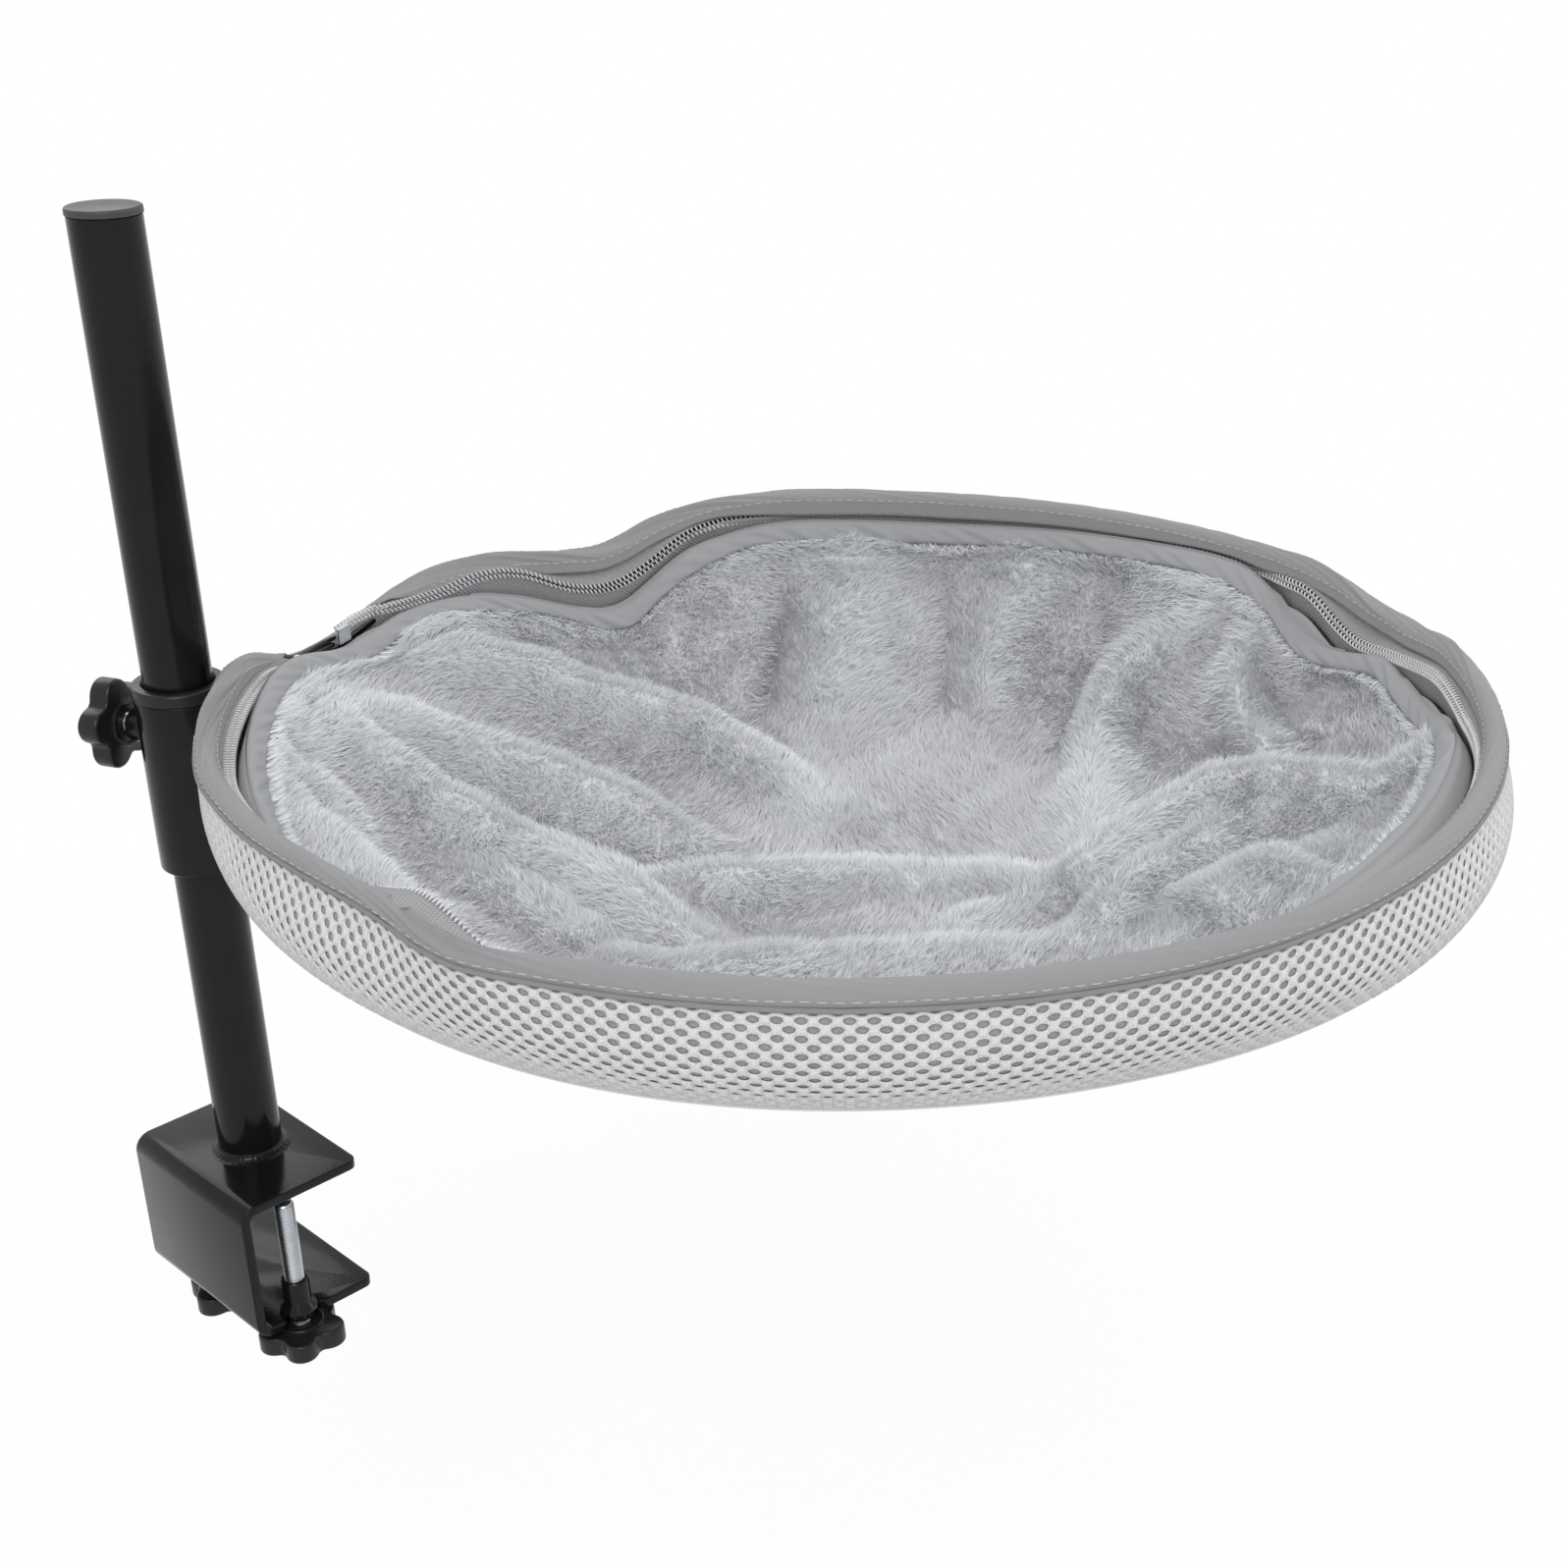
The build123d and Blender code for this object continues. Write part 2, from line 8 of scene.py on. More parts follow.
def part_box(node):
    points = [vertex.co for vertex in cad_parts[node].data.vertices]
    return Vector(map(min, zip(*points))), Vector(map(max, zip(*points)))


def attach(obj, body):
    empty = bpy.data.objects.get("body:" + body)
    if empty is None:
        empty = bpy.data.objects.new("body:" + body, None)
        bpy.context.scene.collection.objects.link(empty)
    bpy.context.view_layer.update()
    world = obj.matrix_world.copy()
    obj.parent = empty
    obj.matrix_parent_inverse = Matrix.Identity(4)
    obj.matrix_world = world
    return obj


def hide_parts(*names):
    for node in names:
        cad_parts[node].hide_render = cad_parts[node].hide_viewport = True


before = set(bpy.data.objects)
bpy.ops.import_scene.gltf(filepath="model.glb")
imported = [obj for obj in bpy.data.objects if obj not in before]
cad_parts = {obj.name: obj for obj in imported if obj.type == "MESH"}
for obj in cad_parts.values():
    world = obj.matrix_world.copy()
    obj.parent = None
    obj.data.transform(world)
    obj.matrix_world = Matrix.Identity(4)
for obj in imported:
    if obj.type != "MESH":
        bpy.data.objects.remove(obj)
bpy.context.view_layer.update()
mm = 0.001

print("camera and light")
photoView = {
    "place": (-0.3670, -0.7181, 0.5033),
    "towards": 43.1,  # degrees from +X
    "downwards": 26.86,
    "roll": 0.17,
    "lens": 50.97,
    "shift": (-0.0858, 0.0719),
}


def addCamera(view):
    across = math.radians(view["towards"])
    down = math.radians(view["downwards"])
    roll = math.radians(view["roll"])
    forward = Vector((math.cos(across) * math.cos(down), math.sin(across) * math.cos(down), -math.sin(down)))
    right = Vector((math.sin(across), -math.cos(across), 0))
    up = right.cross(forward)
    turnedRight = math.cos(roll) * right + math.sin(roll) * up
    turnedUp = -math.sin(roll) * right + math.cos(roll) * up
    data = bpy.data.cameras.new("photoCamera")
    data.lens = view["lens"]
    data.sensor_width = 36
    data.shift_x, data.shift_y = view["shift"]
    data.clip_start = 0.01
    camera = bpy.data.objects.new("photoCamera", data)
    turn = Matrix((turnedRight, turnedUp, -forward)).transposed().to_4x4()
    camera.matrix_world = Matrix.Translation(view["place"]) @ turn
    bpy.context.scene.collection.objects.link(camera)
    bpy.context.scene.camera = camera


addCamera(photoView)
bpy.context.scene.view_settings.view_transform = "Standard"

studio = {
    "worldLight": 0.62,
    "worldColour": (0.96, 0.98, 1.0),
    "lamps": [
        # name, place, looks at, size, watts
        ("keyLamp", (-0.9, -1.1, 1.5), (0.1, -0.15, 0.2), 1.1, 15),
        ("rightLamp", (1.5, -0.9, 0.9), (0.15, -0.2, 0.15), 1.0, 7),
        ("backLamp", (0.3, 1.3, 1.3), (0.15, -0.2, 0.2), 1.2, 7),
    ],
    "floorHeight": -0.34,
    "floorSize": 60,
    "floorColour": (0.9, 0.9, 0.9),
    "floorGlow": 0.9,
    "floorFade": (0.45, 1.1),  # metres from the middle over which the shadow dies away
}


def addLamp(name, place, target, size, watts):
    data = bpy.data.lights.new(name, "AREA")
    data.shape = "DISK"
    data.size = size
    data.energy = watts
    lamp = bpy.data.objects.new(name, data)
    lamp.location = place
    lamp.rotation_euler = (Vector(target) - Vector(place)).to_track_quat("-Z", "Y").to_euler()
    bpy.context.scene.collection.objects.link(lamp)


def mathNode(nodes, links, operation, first, second=None):
    # a math node on sockets or numbers
    node = nodes.new("ShaderNodeMath")
    node.operation = operation
    for index, value in enumerate((first, second)):
        if isinstance(value, (int, float)):
            node.inputs[index].default_value = value
        elif value is not None:
            links.new(value, node.inputs[index])
    return node.outputs[0]


def shownRays(nodes, links):
    # 1 for the rays that should meet the plain white, 0 for those that light the object
    rays = nodes.new("ShaderNodeLightPath")
    seen = rays.outputs["Is Camera Ray"]
    for ray in ("Is Glossy Ray", "Is Transmission Ray"):
        seen = mathNode(nodes, links, "MAXIMUM", seen, rays.outputs[ray])
    return seen


def addStudio(values):
    world = bpy.data.worlds.new("studioWorld")
    world.use_nodes = True
    nodes, links = world.node_tree.nodes, world.node_tree.links
    nodes.clear()
    lit = nodes.new("ShaderNodeBackground")
    lit.inputs["Color"].default_value = (*values["worldColour"], 1)
    lit.inputs["Strength"].default_value = values["worldLight"]
    shown = nodes.new("ShaderNodeBackground")
    shown.inputs["Color"].default_value = (1, 1, 1, 1)
    mix = nodes.new("ShaderNodeMixShader")
    links.new(shownRays(nodes, links), mix.inputs[0])
    links.new(lit.outputs[0], mix.inputs[1])
    links.new(shown.outputs[0], mix.inputs[2])
    out = nodes.new("ShaderNodeOutputWorld")
    links.new(mix.outputs[0], out.inputs["Surface"])
    bpy.context.scene.world = world
    for lamp in values["lamps"]:
        addLamp(*lamp)


addStudio(studio)


def deselectAll():
    for item in bpy.context.selected_objects:
        item.select_set(False)


def makeActive(piece):
    deselectAll()
    piece.select_set(True)
    bpy.context.view_layer.objects.active = piece


def editAll(piece):
    # edit mode with everything selected
    makeActive(piece)
    bpy.ops.object.mode_set(mode="EDIT")
    bpy.ops.mesh.select_all(action="SELECT")


def endEdit():
    bpy.ops.object.mode_set(mode="OBJECT")


def newPiece(name, mesh):
    piece = bpy.data.objects.new(name, mesh)
    bpy.context.scene.collection.objects.link(piece)
    return piece


def meshPiece(name, points, faces, smooth=True):
    mesh = bpy.data.meshes.new(name)
    mesh.from_pydata([tuple(p) for p in points], [], faces)
    mesh.update()
    mesh.polygons.foreach_set("use_smooth", [smooth] * len(mesh.polygons))
    return newPiece(name, mesh)


def applyModifiers(piece):
    makeActive(piece)
    for modifier in list(piece.modifiers):
        bpy.ops.object.modifier_apply(modifier=modifier.name)


def bakePlace(piece, matrix):
    piece.data.transform(matrix)
    piece.matrix_world = Matrix.Identity(4)


def paint(piece, material):
    piece.data.materials.clear()
    piece.data.materials.append(material)


def dress(piece, material, slot, body, *nodes):
    paint(piece, material)
    if nodes:
        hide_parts(*nodes)
    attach(piece, body)
    return piece


print("materials")


def addSocket(group, name, kind, way, value=None):
    socket = group.interface.new_socket(name=name, in_out=way, socket_type=kind)
    if value is not None:
        socket.default_value = value


def weaveGroup():
    # two crossed sets of threads on the piece's UV map, which is in millimetres
    group = bpy.data.node_groups.new("woven threads", "ShaderNodeTree")
    addSocket(group, "Threads per mm", "NodeSocketFloat", "INPUT", 2.0)
    addSocket(group, "Slant", "NodeSocketFloat", "INPUT", 0.5)
    addSocket(group, "Height", "NodeSocketFloat", "OUTPUT")
    nodes, links = group.nodes, group.links
    given = nodes.new("NodeGroupInput")
    out = nodes.new("NodeGroupOutput")
    uv = nodes.new("ShaderNodeUVMap")
    parts = nodes.new("ShaderNodeSeparateXYZ")
    links.new(uv.outputs["UV"], parts.inputs[0])

    def combine(operation, first, second=None):
        return mathNode(nodes, links, operation, first, second)

    across = combine("MULTIPLY", parts.outputs["X"], given.outputs["Threads per mm"])
    along = combine("MULTIPLY", parts.outputs["Y"], given.outputs["Threads per mm"])
    slanted = combine("MULTIPLY", along, given.outputs["Slant"])
    warp = combine("SINE", combine("MULTIPLY", combine("ADD", across, slanted), math.tau))
    weft = combine("SINE", combine("MULTIPLY", combine("SUBTRACT", along, across), math.tau))
    links.new(combine("MAXIMUM", warp, combine("MULTIPLY", weft, 0.7)), out.inputs["Height"])
    return group


def grainGroup():
    # soft uneven patches and fine grain, both from 0 to 1
    group = bpy.data.node_groups.new("patches and grain", "ShaderNodeTree")
    addSocket(group, "Patch scale", "NodeSocketFloat", "INPUT", 20.0)
    addSocket(group, "Grain scale", "NodeSocketFloat", "INPUT", 900.0)
    addSocket(group, "Patches", "NodeSocketFloat", "OUTPUT")
    addSocket(group, "Grain", "NodeSocketFloat", "OUTPUT")
    nodes, links = group.nodes, group.links
    given = nodes.new("NodeGroupInput")
    out = nodes.new("NodeGroupOutput")
    place = nodes.new("ShaderNodeTexCoord")
    for name, scale, detail in (("Patches", "Patch scale", 3.0), ("Grain", "Grain scale", 2.0)):
        noise = nodes.new("ShaderNodeTexNoise")
        noise.inputs["Detail"].default_value = detail
        links.new(place.outputs["Object"], noise.inputs["Vector"])
        links.new(given.outputs[scale], noise.inputs["Scale"])
        links.new(noise.outputs["Fac"], out.inputs[name])
    return group


weaveThreads = weaveGroup()
patchesAndGrain = grainGroup()


def newMaterial(name):
    material = bpy.data.materials.new(name)
    material.use_nodes = True
    return material, material.node_tree.nodes, material.node_tree.links


def placeGroup(nodes, group, values):
    node = nodes.new("ShaderNodeGroup")
    node.node_tree = group
    for name, value in values.items():
        node.inputs[name].default_value = value
    return node


def mixColours(nodes, links, factor, first, second):
    mix = nodes.new("ShaderNodeMix")
    mix.data_type = "RGBA"
    links.new(factor, mix.inputs["Factor"])
    for name, value in (("A", first), ("B", second)):
        socket = [s for s in mix.inputs if s.name == name and s.type == "RGBA"][0]
        if isinstance(value, tuple):
            socket.default_value = (*value, 1)
        else:
            links.new(value, socket)
    return [s for s in mix.outputs if s.type == "RGBA"][0]


def rangeOf(nodes, links, value, low, high, toLow, toHigh):
    node = nodes.new("ShaderNodeMapRange")
    links.new(value, node.inputs["Value"])
    for name, number in (("From Min", low), ("From Max", high), ("To Min", toLow), ("To Max", toHigh)):
        node.inputs[name].default_value = number
    return node.outputs["Result"]


def bumpFrom(nodes, links, shader, height, strength, distance):
    bump = nodes.new("ShaderNodeBump")
    bump.inputs["Strength"].default_value = strength
    bump.inputs["Distance"].default_value = distance
    links.new(height, bump.inputs["Height"])
    links.new(bump.outputs["Normal"], shader.inputs["Normal"])


def paintMaterial(name, colour, roughness, specular, grainScale, grainDepth):
    # powder coat or moulded plastic: nearly black, uneven gloss, a fine skin
    material, nodes, links = newMaterial(name)
    shader = nodes["Principled BSDF"]
    grain = placeGroup(nodes, patchesAndGrain, {"Patch scale": 45.0, "Grain scale": grainScale})
    lighter = tuple(min(1, c * 1.7 + 0.002) for c in colour)
    colours = mixColours(nodes, links, grain.outputs["Patches"], colour, lighter)
    links.new(colours, shader.inputs["Base Color"])
    rough = rangeOf(nodes, links, grain.outputs["Patches"], 0.25, 0.75, roughness * 0.8, roughness * 1.25)
    links.new(rough, shader.inputs["Roughness"])
    shader.inputs["Specular IOR Level"].default_value = specular
    bumpFrom(nodes, links, shader, grain.outputs["Grain"], 0.5, grainDepth)
    return material


def metalMaterial(name, colour, roughness):
    material, nodes, links = newMaterial(name)
    shader = nodes["Principled BSDF"]
    grain = placeGroup(nodes, patchesAndGrain, {"Patch scale": 160.0, "Grain scale": 2600.0})
    darker = tuple(c * 0.8 for c in colour)
    links.new(mixColours(nodes, links, grain.outputs["Patches"], darker, colour), shader.inputs["Base Color"])
    rough = rangeOf(nodes, links, grain.outputs["Grain"], 0.3, 0.7, roughness * 0.7, roughness * 1.3)
    links.new(rough, shader.inputs["Roughness"])
    shader.inputs["Metallic"].default_value = 1.0
    return material


def clothMaterial(name, colour, shade, threads, slant, depth, sheen=0.0):
    # woven cloth: threads on the UV map, and soft patches of shade
    material, nodes, links = newMaterial(name)
    shader = nodes["Principled BSDF"]
    weave = placeGroup(nodes, weaveThreads, {"Threads per mm": threads, "Slant": slant})
    grain = placeGroup(nodes, patchesAndGrain, {"Patch scale": 18.0, "Grain scale": 1400.0})
    worn = mixColours(nodes, links, grain.outputs["Patches"], shade, colour)
    light = rangeOf(nodes, links, weave.outputs["Height"], -0.6, 1.0, 0.0, 1.0)
    dark = tuple(c * 0.86 for c in shade)
    links.new(mixColours(nodes, links, light, dark, worn), shader.inputs["Base Color"])
    shader.inputs["Roughness"].default_value = 0.82
    shader.inputs["Specular IOR Level"].default_value = 0.25
    shader.inputs["Sheen Weight"].default_value = sheen
    bumpFrom(nodes, links, shader, weave.outputs["Height"], 0.6, depth)
    return material


def knitMaterial(name, colour, shade, loops, depth):
    # the face of the air mesh: small knitted loops between the holes
    material, nodes, links = newMaterial(name)
    shader = nodes["Principled BSDF"]
    uv = nodes.new("ShaderNodeUVMap")
    loopsNode = nodes.new("ShaderNodeTexVoronoi")
    loopsNode.inputs["Scale"].default_value = loops
    links.new(uv.outputs["UV"], loopsNode.inputs["Vector"])
    dots = rangeOf(nodes, links, loopsNode.outputs["Distance"], 0.1, 0.75, 1.0, 0.0)
    links.new(mixColours(nodes, links, dots, shade, colour), shader.inputs["Base Color"])
    shader.inputs["Roughness"].default_value = 0.75
    shader.inputs["Specular IOR Level"].default_value = 0.3
    bumpFrom(nodes, links, shader, dots, 0.7, depth)
    return material


def pileMaterial(name, root, middle, tip, dullToneAndShade):
    # fur blades: dark at the root, pale at the tip, with painted shade where the pile parts and in the fold valleys,
    # no two quite alike
    material, nodes, links = newMaterial(name)
    shader = nodes["Principled BSDF"]
    along = nodes.new("ShaderNodeAttribute")
    along.attribute_name = "pile"
    parts = nodes.new("ShaderNodeSeparateXYZ")
    links.new(along.outputs["Vector"], parts.inputs[0])
    low = rangeOf(nodes, links, parts.outputs["X"], 0.0, 0.5, 0.0, 1.0)
    high = rangeOf(nodes, links, parts.outputs["X"], 0.5, 1.0, 0.0, 1.0)
    base = mixColours(nodes, links, low, root, middle)
    full = mixColours(nodes, links, high, base, tip)
    # the dull colour carries random tone and painted shade of the pile's partings and fold valleys
    toneAndShade = mixColours(nodes, links, rangeOf(nodes, links, parts.outputs["Y"], 0.2, 1.0, 0.0, 0.85), full, dullToneAndShade)
    links.new(toneAndShade, shader.inputs["Base Color"])
    shader.inputs["Roughness"].default_value = 0.65
    shader.inputs["Specular IOR Level"].default_value = 0.2
    return material


def groundMaterial(name, colour, shade):
    material, nodes, links = newMaterial(name)
    shader = nodes["Principled BSDF"]
    grain = placeGroup(nodes, patchesAndGrain, {"Patch scale": 60.0, "Grain scale": 1100.0})
    mottled = mixColours(nodes, links, grain.outputs["Grain"], shade, colour)
    links.new(mixColours(nodes, links, grain.outputs["Patches"], mottled, colour), shader.inputs["Base Color"])
    shader.inputs["Roughness"].default_value = 0.9
    shader.inputs["Specular IOR Level"].default_value = 0.1
    bumpFrom(nodes, links, shader, grain.outputs["Grain"], 0.8, 0.0006)
    return material


blackCoat = paintMaterial("black powder coat", colour=(0.005, 0.005, 0.0055), roughness=0.15, specular=0.19,
                          grainScale=520.0, grainDepth=0.00006)
blackPlastic = paintMaterial("black moulded plastic", colour=(0.009, 0.009, 0.0095), roughness=0.3, specular=0.28,
                             grainScale=1500.0, grainDepth=0.00005)
capPlastic = paintMaterial("cap plastic", colour=(0.035, 0.036, 0.038), roughness=0.5, specular=0.4,
                           grainScale=1500.0, grainDepth=0.00005)
zincSteel = metalMaterial("zinc plated steel", colour=(0.66, 0.69, 0.72), roughness=0.3)
zipChrome = metalMaterial("zip metal", colour=(0.62, 0.63, 0.64), roughness=0.26)
bandCloth = clothMaterial("rim cloth", colour=(0.37, 0.37, 0.372), shade=(0.335, 0.335, 0.337), threads=1.6,
                          slant=0.4, depth=0.00012, sheen=0.1)
bindCloth = clothMaterial("binding cloth", colour=(0.45, 0.455, 0.465), shade=(0.39, 0.393, 0.4), threads=1.8,
                          slant=0.2, depth=0.0001, sheen=0.1)
tapeCloth = clothMaterial("zip tape", colour=(0.46, 0.46, 0.462), shade=(0.34, 0.34, 0.343), threads=0.6,
                          slant=1.0, depth=0.0003)
# the piping is a real cord; its grey is darker than the rim cloth as a painted shadow line where the rim meets the
# mesh
pipingShadowCloth = clothMaterial("piping cloth with painted shadow", colour=(0.33, 0.33, 0.335), shade=(0.28, 0.28, 0.285), threads=1.6,
                            slant=1.0, depth=0.0001)
meshFace = knitMaterial("air mesh face", colour=(0.89, 0.89, 0.885), shade=(0.70, 0.70, 0.70), loops=1.9,
                        depth=0.0002)
meshBack = groundMaterial("air mesh back", colour=(0.44, 0.445, 0.445), shade=(0.13, 0.135, 0.135))
threadMaterial = clothMaterial("sewing thread", colour=(0.64, 0.64, 0.635), shade=(0.54, 0.54, 0.54), threads=2.5,
                               slant=1.0, depth=0.00005)
coilNylon = paintMaterial("zip nylon", colour=(0.54, 0.54, 0.545), roughness=0.35, specular=0.6,
                          grainScale=1500.0, grainDepth=0.00003)
# dull: random duller blades, and the painted shade of the fold valleys
plushPile = pileMaterial("plush pile", root=(0.72, 0.72, 0.725), middle=(0.88, 0.89, 0.925),
                         tip=(0.95, 0.965, 0.995), dullToneAndShade=(0.79, 0.785, 0.785))
plushGround = groundMaterial("plush ground", colour=(0.83, 0.835, 0.85), shade=(0.69, 0.69, 0.70))


def floorMaterial(values):
    material, nodes, links = newMaterial("white floor")
    shader = nodes["Principled BSDF"]
    shader.inputs["Base Color"].default_value = (*values["floorColour"], 1)
    shader.inputs["Roughness"].default_value = 0.9
    place = nodes.new("ShaderNodeTexCoord")
    away = nodes.new("ShaderNodeVectorMath")
    away.operation = "LENGTH"
    links.new(place.outputs["Object"], away.inputs[0])
    glow = rangeOf(nodes, links, away.outputs["Value"], *values["floorFade"], values["floorGlow"], 1.0)
    share = mathNode(nodes, links, "MULTIPLY", shownRays(nodes, links), glow)
    white = nodes.new("ShaderNodeEmission")
    white.inputs["Color"].default_value = (1, 1, 1, 1)
    mix = nodes.new("ShaderNodeMixShader")
    links.new(share, mix.inputs[0])
    links.new(shader.outputs[0], mix.inputs[1])
    links.new(white.outputs[0], mix.inputs[2])
    links.new(mix.outputs[0], nodes["Material Output"].inputs["Surface"])
    return material


def addFloor(values):
    deselectAll()
    bpy.ops.mesh.primitive_plane_add(size=values["floorSize"], location=(0, 0, values["floorHeight"]))
    floor = bpy.context.active_object
    floor.name = "studioFloor"
    floor.data.materials.append(floorMaterial(values))


addFloor(studio)


print("clamp and pole")


def nodeCentre(node):
    low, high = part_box(node)
    return (low + high) / 2


def levels(node):
    # a node's lowest and highest level in millimetres
    low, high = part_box(node)
    return low.z / mm, high.z / mm


poleLow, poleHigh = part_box("pole_tube")
poleCentre = nodeCentre("pole_tube")
poleRadius = (poleHigh.x - poleLow.x) / 2
onPole = Matrix.Translation((poleCentre.x, poleCentre.y, 0))


def facesOutward(piece):
    # the faces agree first, then the sign of the volume tells which way they point
    editAll(piece)
    bpy.ops.mesh.normals_make_consistent(inside=False)
    endEdit()
    mesh = bmesh.new()
    mesh.from_mesh(piece.data)
    if mesh.calc_volume(signed=True) < 0:
        bmesh.ops.reverse_faces(mesh, faces=mesh.faces)
        mesh.to_mesh(piece.data)
    mesh.free()


def turned(name, outline, place, segments, closed=True):
    # spins an outline of (radius, height) in millimetres round Z, then moves it to its place
    points = [(r * mm, 0, z * mm) for r, z in outline]
    mesh = bpy.data.meshes.new(name)
    count = len(points)
    edges = [(i, (i + 1) % count) for i in range(count if closed else count - 1)]
    mesh.from_pydata(points, edges, [])
    piece = newPiece(name, mesh)
    editAll(piece)
    bpy.ops.mesh.spin(steps=segments, angle=math.tau, center=(0, 0, 0), axis=(0, 0, 1), use_auto_merge=True)
    bpy.ops.mesh.select_all(action="SELECT")
    bpy.ops.mesh.remove_doubles(threshold=0.000005)
    bpy.ops.mesh.normals_make_consistent(inside=False)
    endEdit()
    bpy.ops.object.shade_smooth_by_angle(angle=math.radians(32))
    bakePlace(piece, place)
    return piece


def arcPoints(centre, radius, start, end, steps):
    turns = [math.radians(start + (end - start) * i / steps) for i in range(steps + 1)]
    return [(centre[0] + radius * math.cos(t), centre[1] + radius * math.sin(t)) for t in turns]


bracketShape = {
    "plate": 4,
    "bend": 7,
    "corner": 4,
    "notchMouth": 15,
    "notchRound": 2.2,
    "nutHole": 5.6,
    "cutPast": 3,  # how far the cutters pass the plate
    "edge": 0.45,
}


def cutterPrism(name, outline, low, high):
    # an upright prism in millimetres for cutting holes
    bottom = [(x * mm, y * mm, low * mm) for x, y in outline]
    top = [(x * mm, y * mm, high * mm) for x, y in outline]
    count = len(outline)
    faces = [list(range(count))[::-1], [count + i for i in range(count)]]
    faces += [[i, (i + 1) % count, count + (i + 1) % count, count + i] for i in range(count)]
    return meshPiece(name, bottom + top, faces, smooth=False)


def cutWith(piece, cutters):
    for cutter in cutters:
        modifier = piece.modifiers.new("cut", "BOOLEAN")
        modifier.operation = "DIFFERENCE"
        modifier.object = cutter
        modifier.solver = "EXACT"
        applyModifiers(piece)
        bpy.data.objects.remove(cutter)


def makeBracket(values):
    low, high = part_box("clamp_bracket")
    low, high = low / mm, high / mm
    plate, bend = values["plate"], values["bend"]
    inner = bend - plate
    outline = [(high.x, high.z), (high.x, high.z - plate)]
    outline += arcPoints((low.x + bend, high.z - bend), inner, 90, 180, 8)
    outline += arcPoints((low.x + bend, low.z + bend), inner, 180, 270, 8)
    outline += [(high.x, low.z + plate), (high.x, low.z)]
    outline += arcPoints((low.x + bend, low.z + bend), bend, 270, 180, 12)
    outline += arcPoints((low.x + bend, high.z - bend), bend, 180, 90, 12)
    points = [(x * mm, low.y * mm, z * mm) for x, z in outline]
    piece = meshPiece("clampBracket", points, [list(range(len(points)))], smooth=False)
    editAll(piece)
    bpy.ops.mesh.extrude_region_move(TRANSFORM_OT_translate={"value": (0, (high.y - low.y) * mm, 0)})
    endEdit()
    facesOutward(piece)
    bpy.ops.object.mode_set(mode="EDIT")
    bpy.ops.mesh.select_mode(type="EDGE")
    bpy.ops.mesh.select_all(action="DESELECT")
    endEdit()
    for edge in piece.data.edges:  # the upright edges at the jaws' open corners
        a, b = (piece.data.vertices[i].co for i in edge.vertices)
        upright = abs(a.z - b.z) > 0.9 * plate * mm and abs(a.x - b.x) < 1e-6 and abs(a.y - b.y) < 1e-6
        edge.select = upright and a.x > (high.x - 1) * mm
    bpy.ops.object.mode_set(mode="EDIT")
    bpy.ops.mesh.bevel(offset=values["corner"] * mm, segments=8, affect="EDGES")
    endEdit()
    near, far = nodeCentre("clamp_screw_near") / mm, nodeCentre("clamp_screw_far") / mm
    hole, half = values["nutHole"], values["notchMouth"] / 2
    soft = values["notchRound"]
    slot = arcPoints((near.x, near.y), hole, 0, 180, 20)
    slot += [(near.x - half, low.y + soft), (near.x - half - soft, low.y), (near.x - half - soft, low.y - 4)]
    slot += [(near.x + half + soft, low.y - 4), (near.x + half + soft, low.y), (near.x + half, low.y + soft)]
    farHole = arcPoints((far.x, far.y), hole, 0, 345, 23)
    cutLow, cutHigh = low.z - values["cutPast"], low.z + plate + values["cutPast"]
    cutWith(piece, [cutterPrism("cutNotch", slot, cutLow, cutHigh), cutterPrism("cutHole", farHole, cutLow, cutHigh)])
    bevel = piece.modifiers.new("edges", "BEVEL")
    bevel.width = values["edge"] * mm
    bevel.segments = 3
    bevel.limit_method = "ANGLE"
    bevel.angle_limit = math.radians(35)
    applyModifiers(piece)
    bpy.ops.object.shade_smooth_by_angle(angle=math.radians(30))
    return dress(piece, blackCoat, "black_steel", "bracket", "clamp_bracket")


makeBracket(bracketShape)

poleShape = {"wall": 1.5, "edge": 0.4}


def makePole(values):
    r = poleRadius / mm
    low, high = poleLow.z / mm, poleHigh.z / mm
    e, w = values["edge"], values["wall"]
    outline = [(r - w, low), (r, low), (r, low + 8)]
    outline += [(r, low + (high - low) * k / 12) for k in range(1, 12)]
    outline += [(r, high - e), (r - e, high), (r - w, high)]
    piece = turned("poleTube", outline, onPole, 128)
    return dress(piece, blackCoat, "black_steel", "bracket", "pole_tube")


makePole(poleShape)

capShape = {
    "rise": 2.5,
    "proud": 0.3,
    "round": 0.9,
    "dish": 0.35,
    "plug": 13,
    "inside": 2.0,  # how far inside the tube's outside the plug lies
    "rib": 0.4,
    "ribHigh": 0.7,
}


def makeCap(values):
    r = poleRadius / mm
    top = poleHigh.z / mm
    rim = r + values["proud"]
    high = top + values["rise"]
    outline = [(0, high - values["dish"]), (rim * 0.6, high - values["dish"] * 0.6)]
    outline += arcPoints((rim - values["round"], high - values["round"]), values["round"], 90, 0, 6)
    outline += [(rim, top + 0.02), (r - 1.7, top + 0.02)]
    depth, inside = values["plug"], r - values["inside"]
    for k in range(3):  # gripping ribs inside the tube
        z = top - depth * (0.25 + 0.25 * k)
        outline += [(inside, z + values["ribHigh"]), (inside + values["rib"], z), (inside, z - values["ribHigh"])]
    outline += [(inside, top - depth), (0, top - depth)]
    piece = turned("poleCap", outline, onPole, 96, closed=False)
    return dress(piece, capPlastic, "black_plastic", "bracket", "pole_cap")


makeCap(capShape)

weldShape = {"reach": 3.7, "height": 3.2, "beads": 34, "lump": 0.09, "wander": 0.12, "sunk": 0.05, "steps": 272,
             "rows": 9}


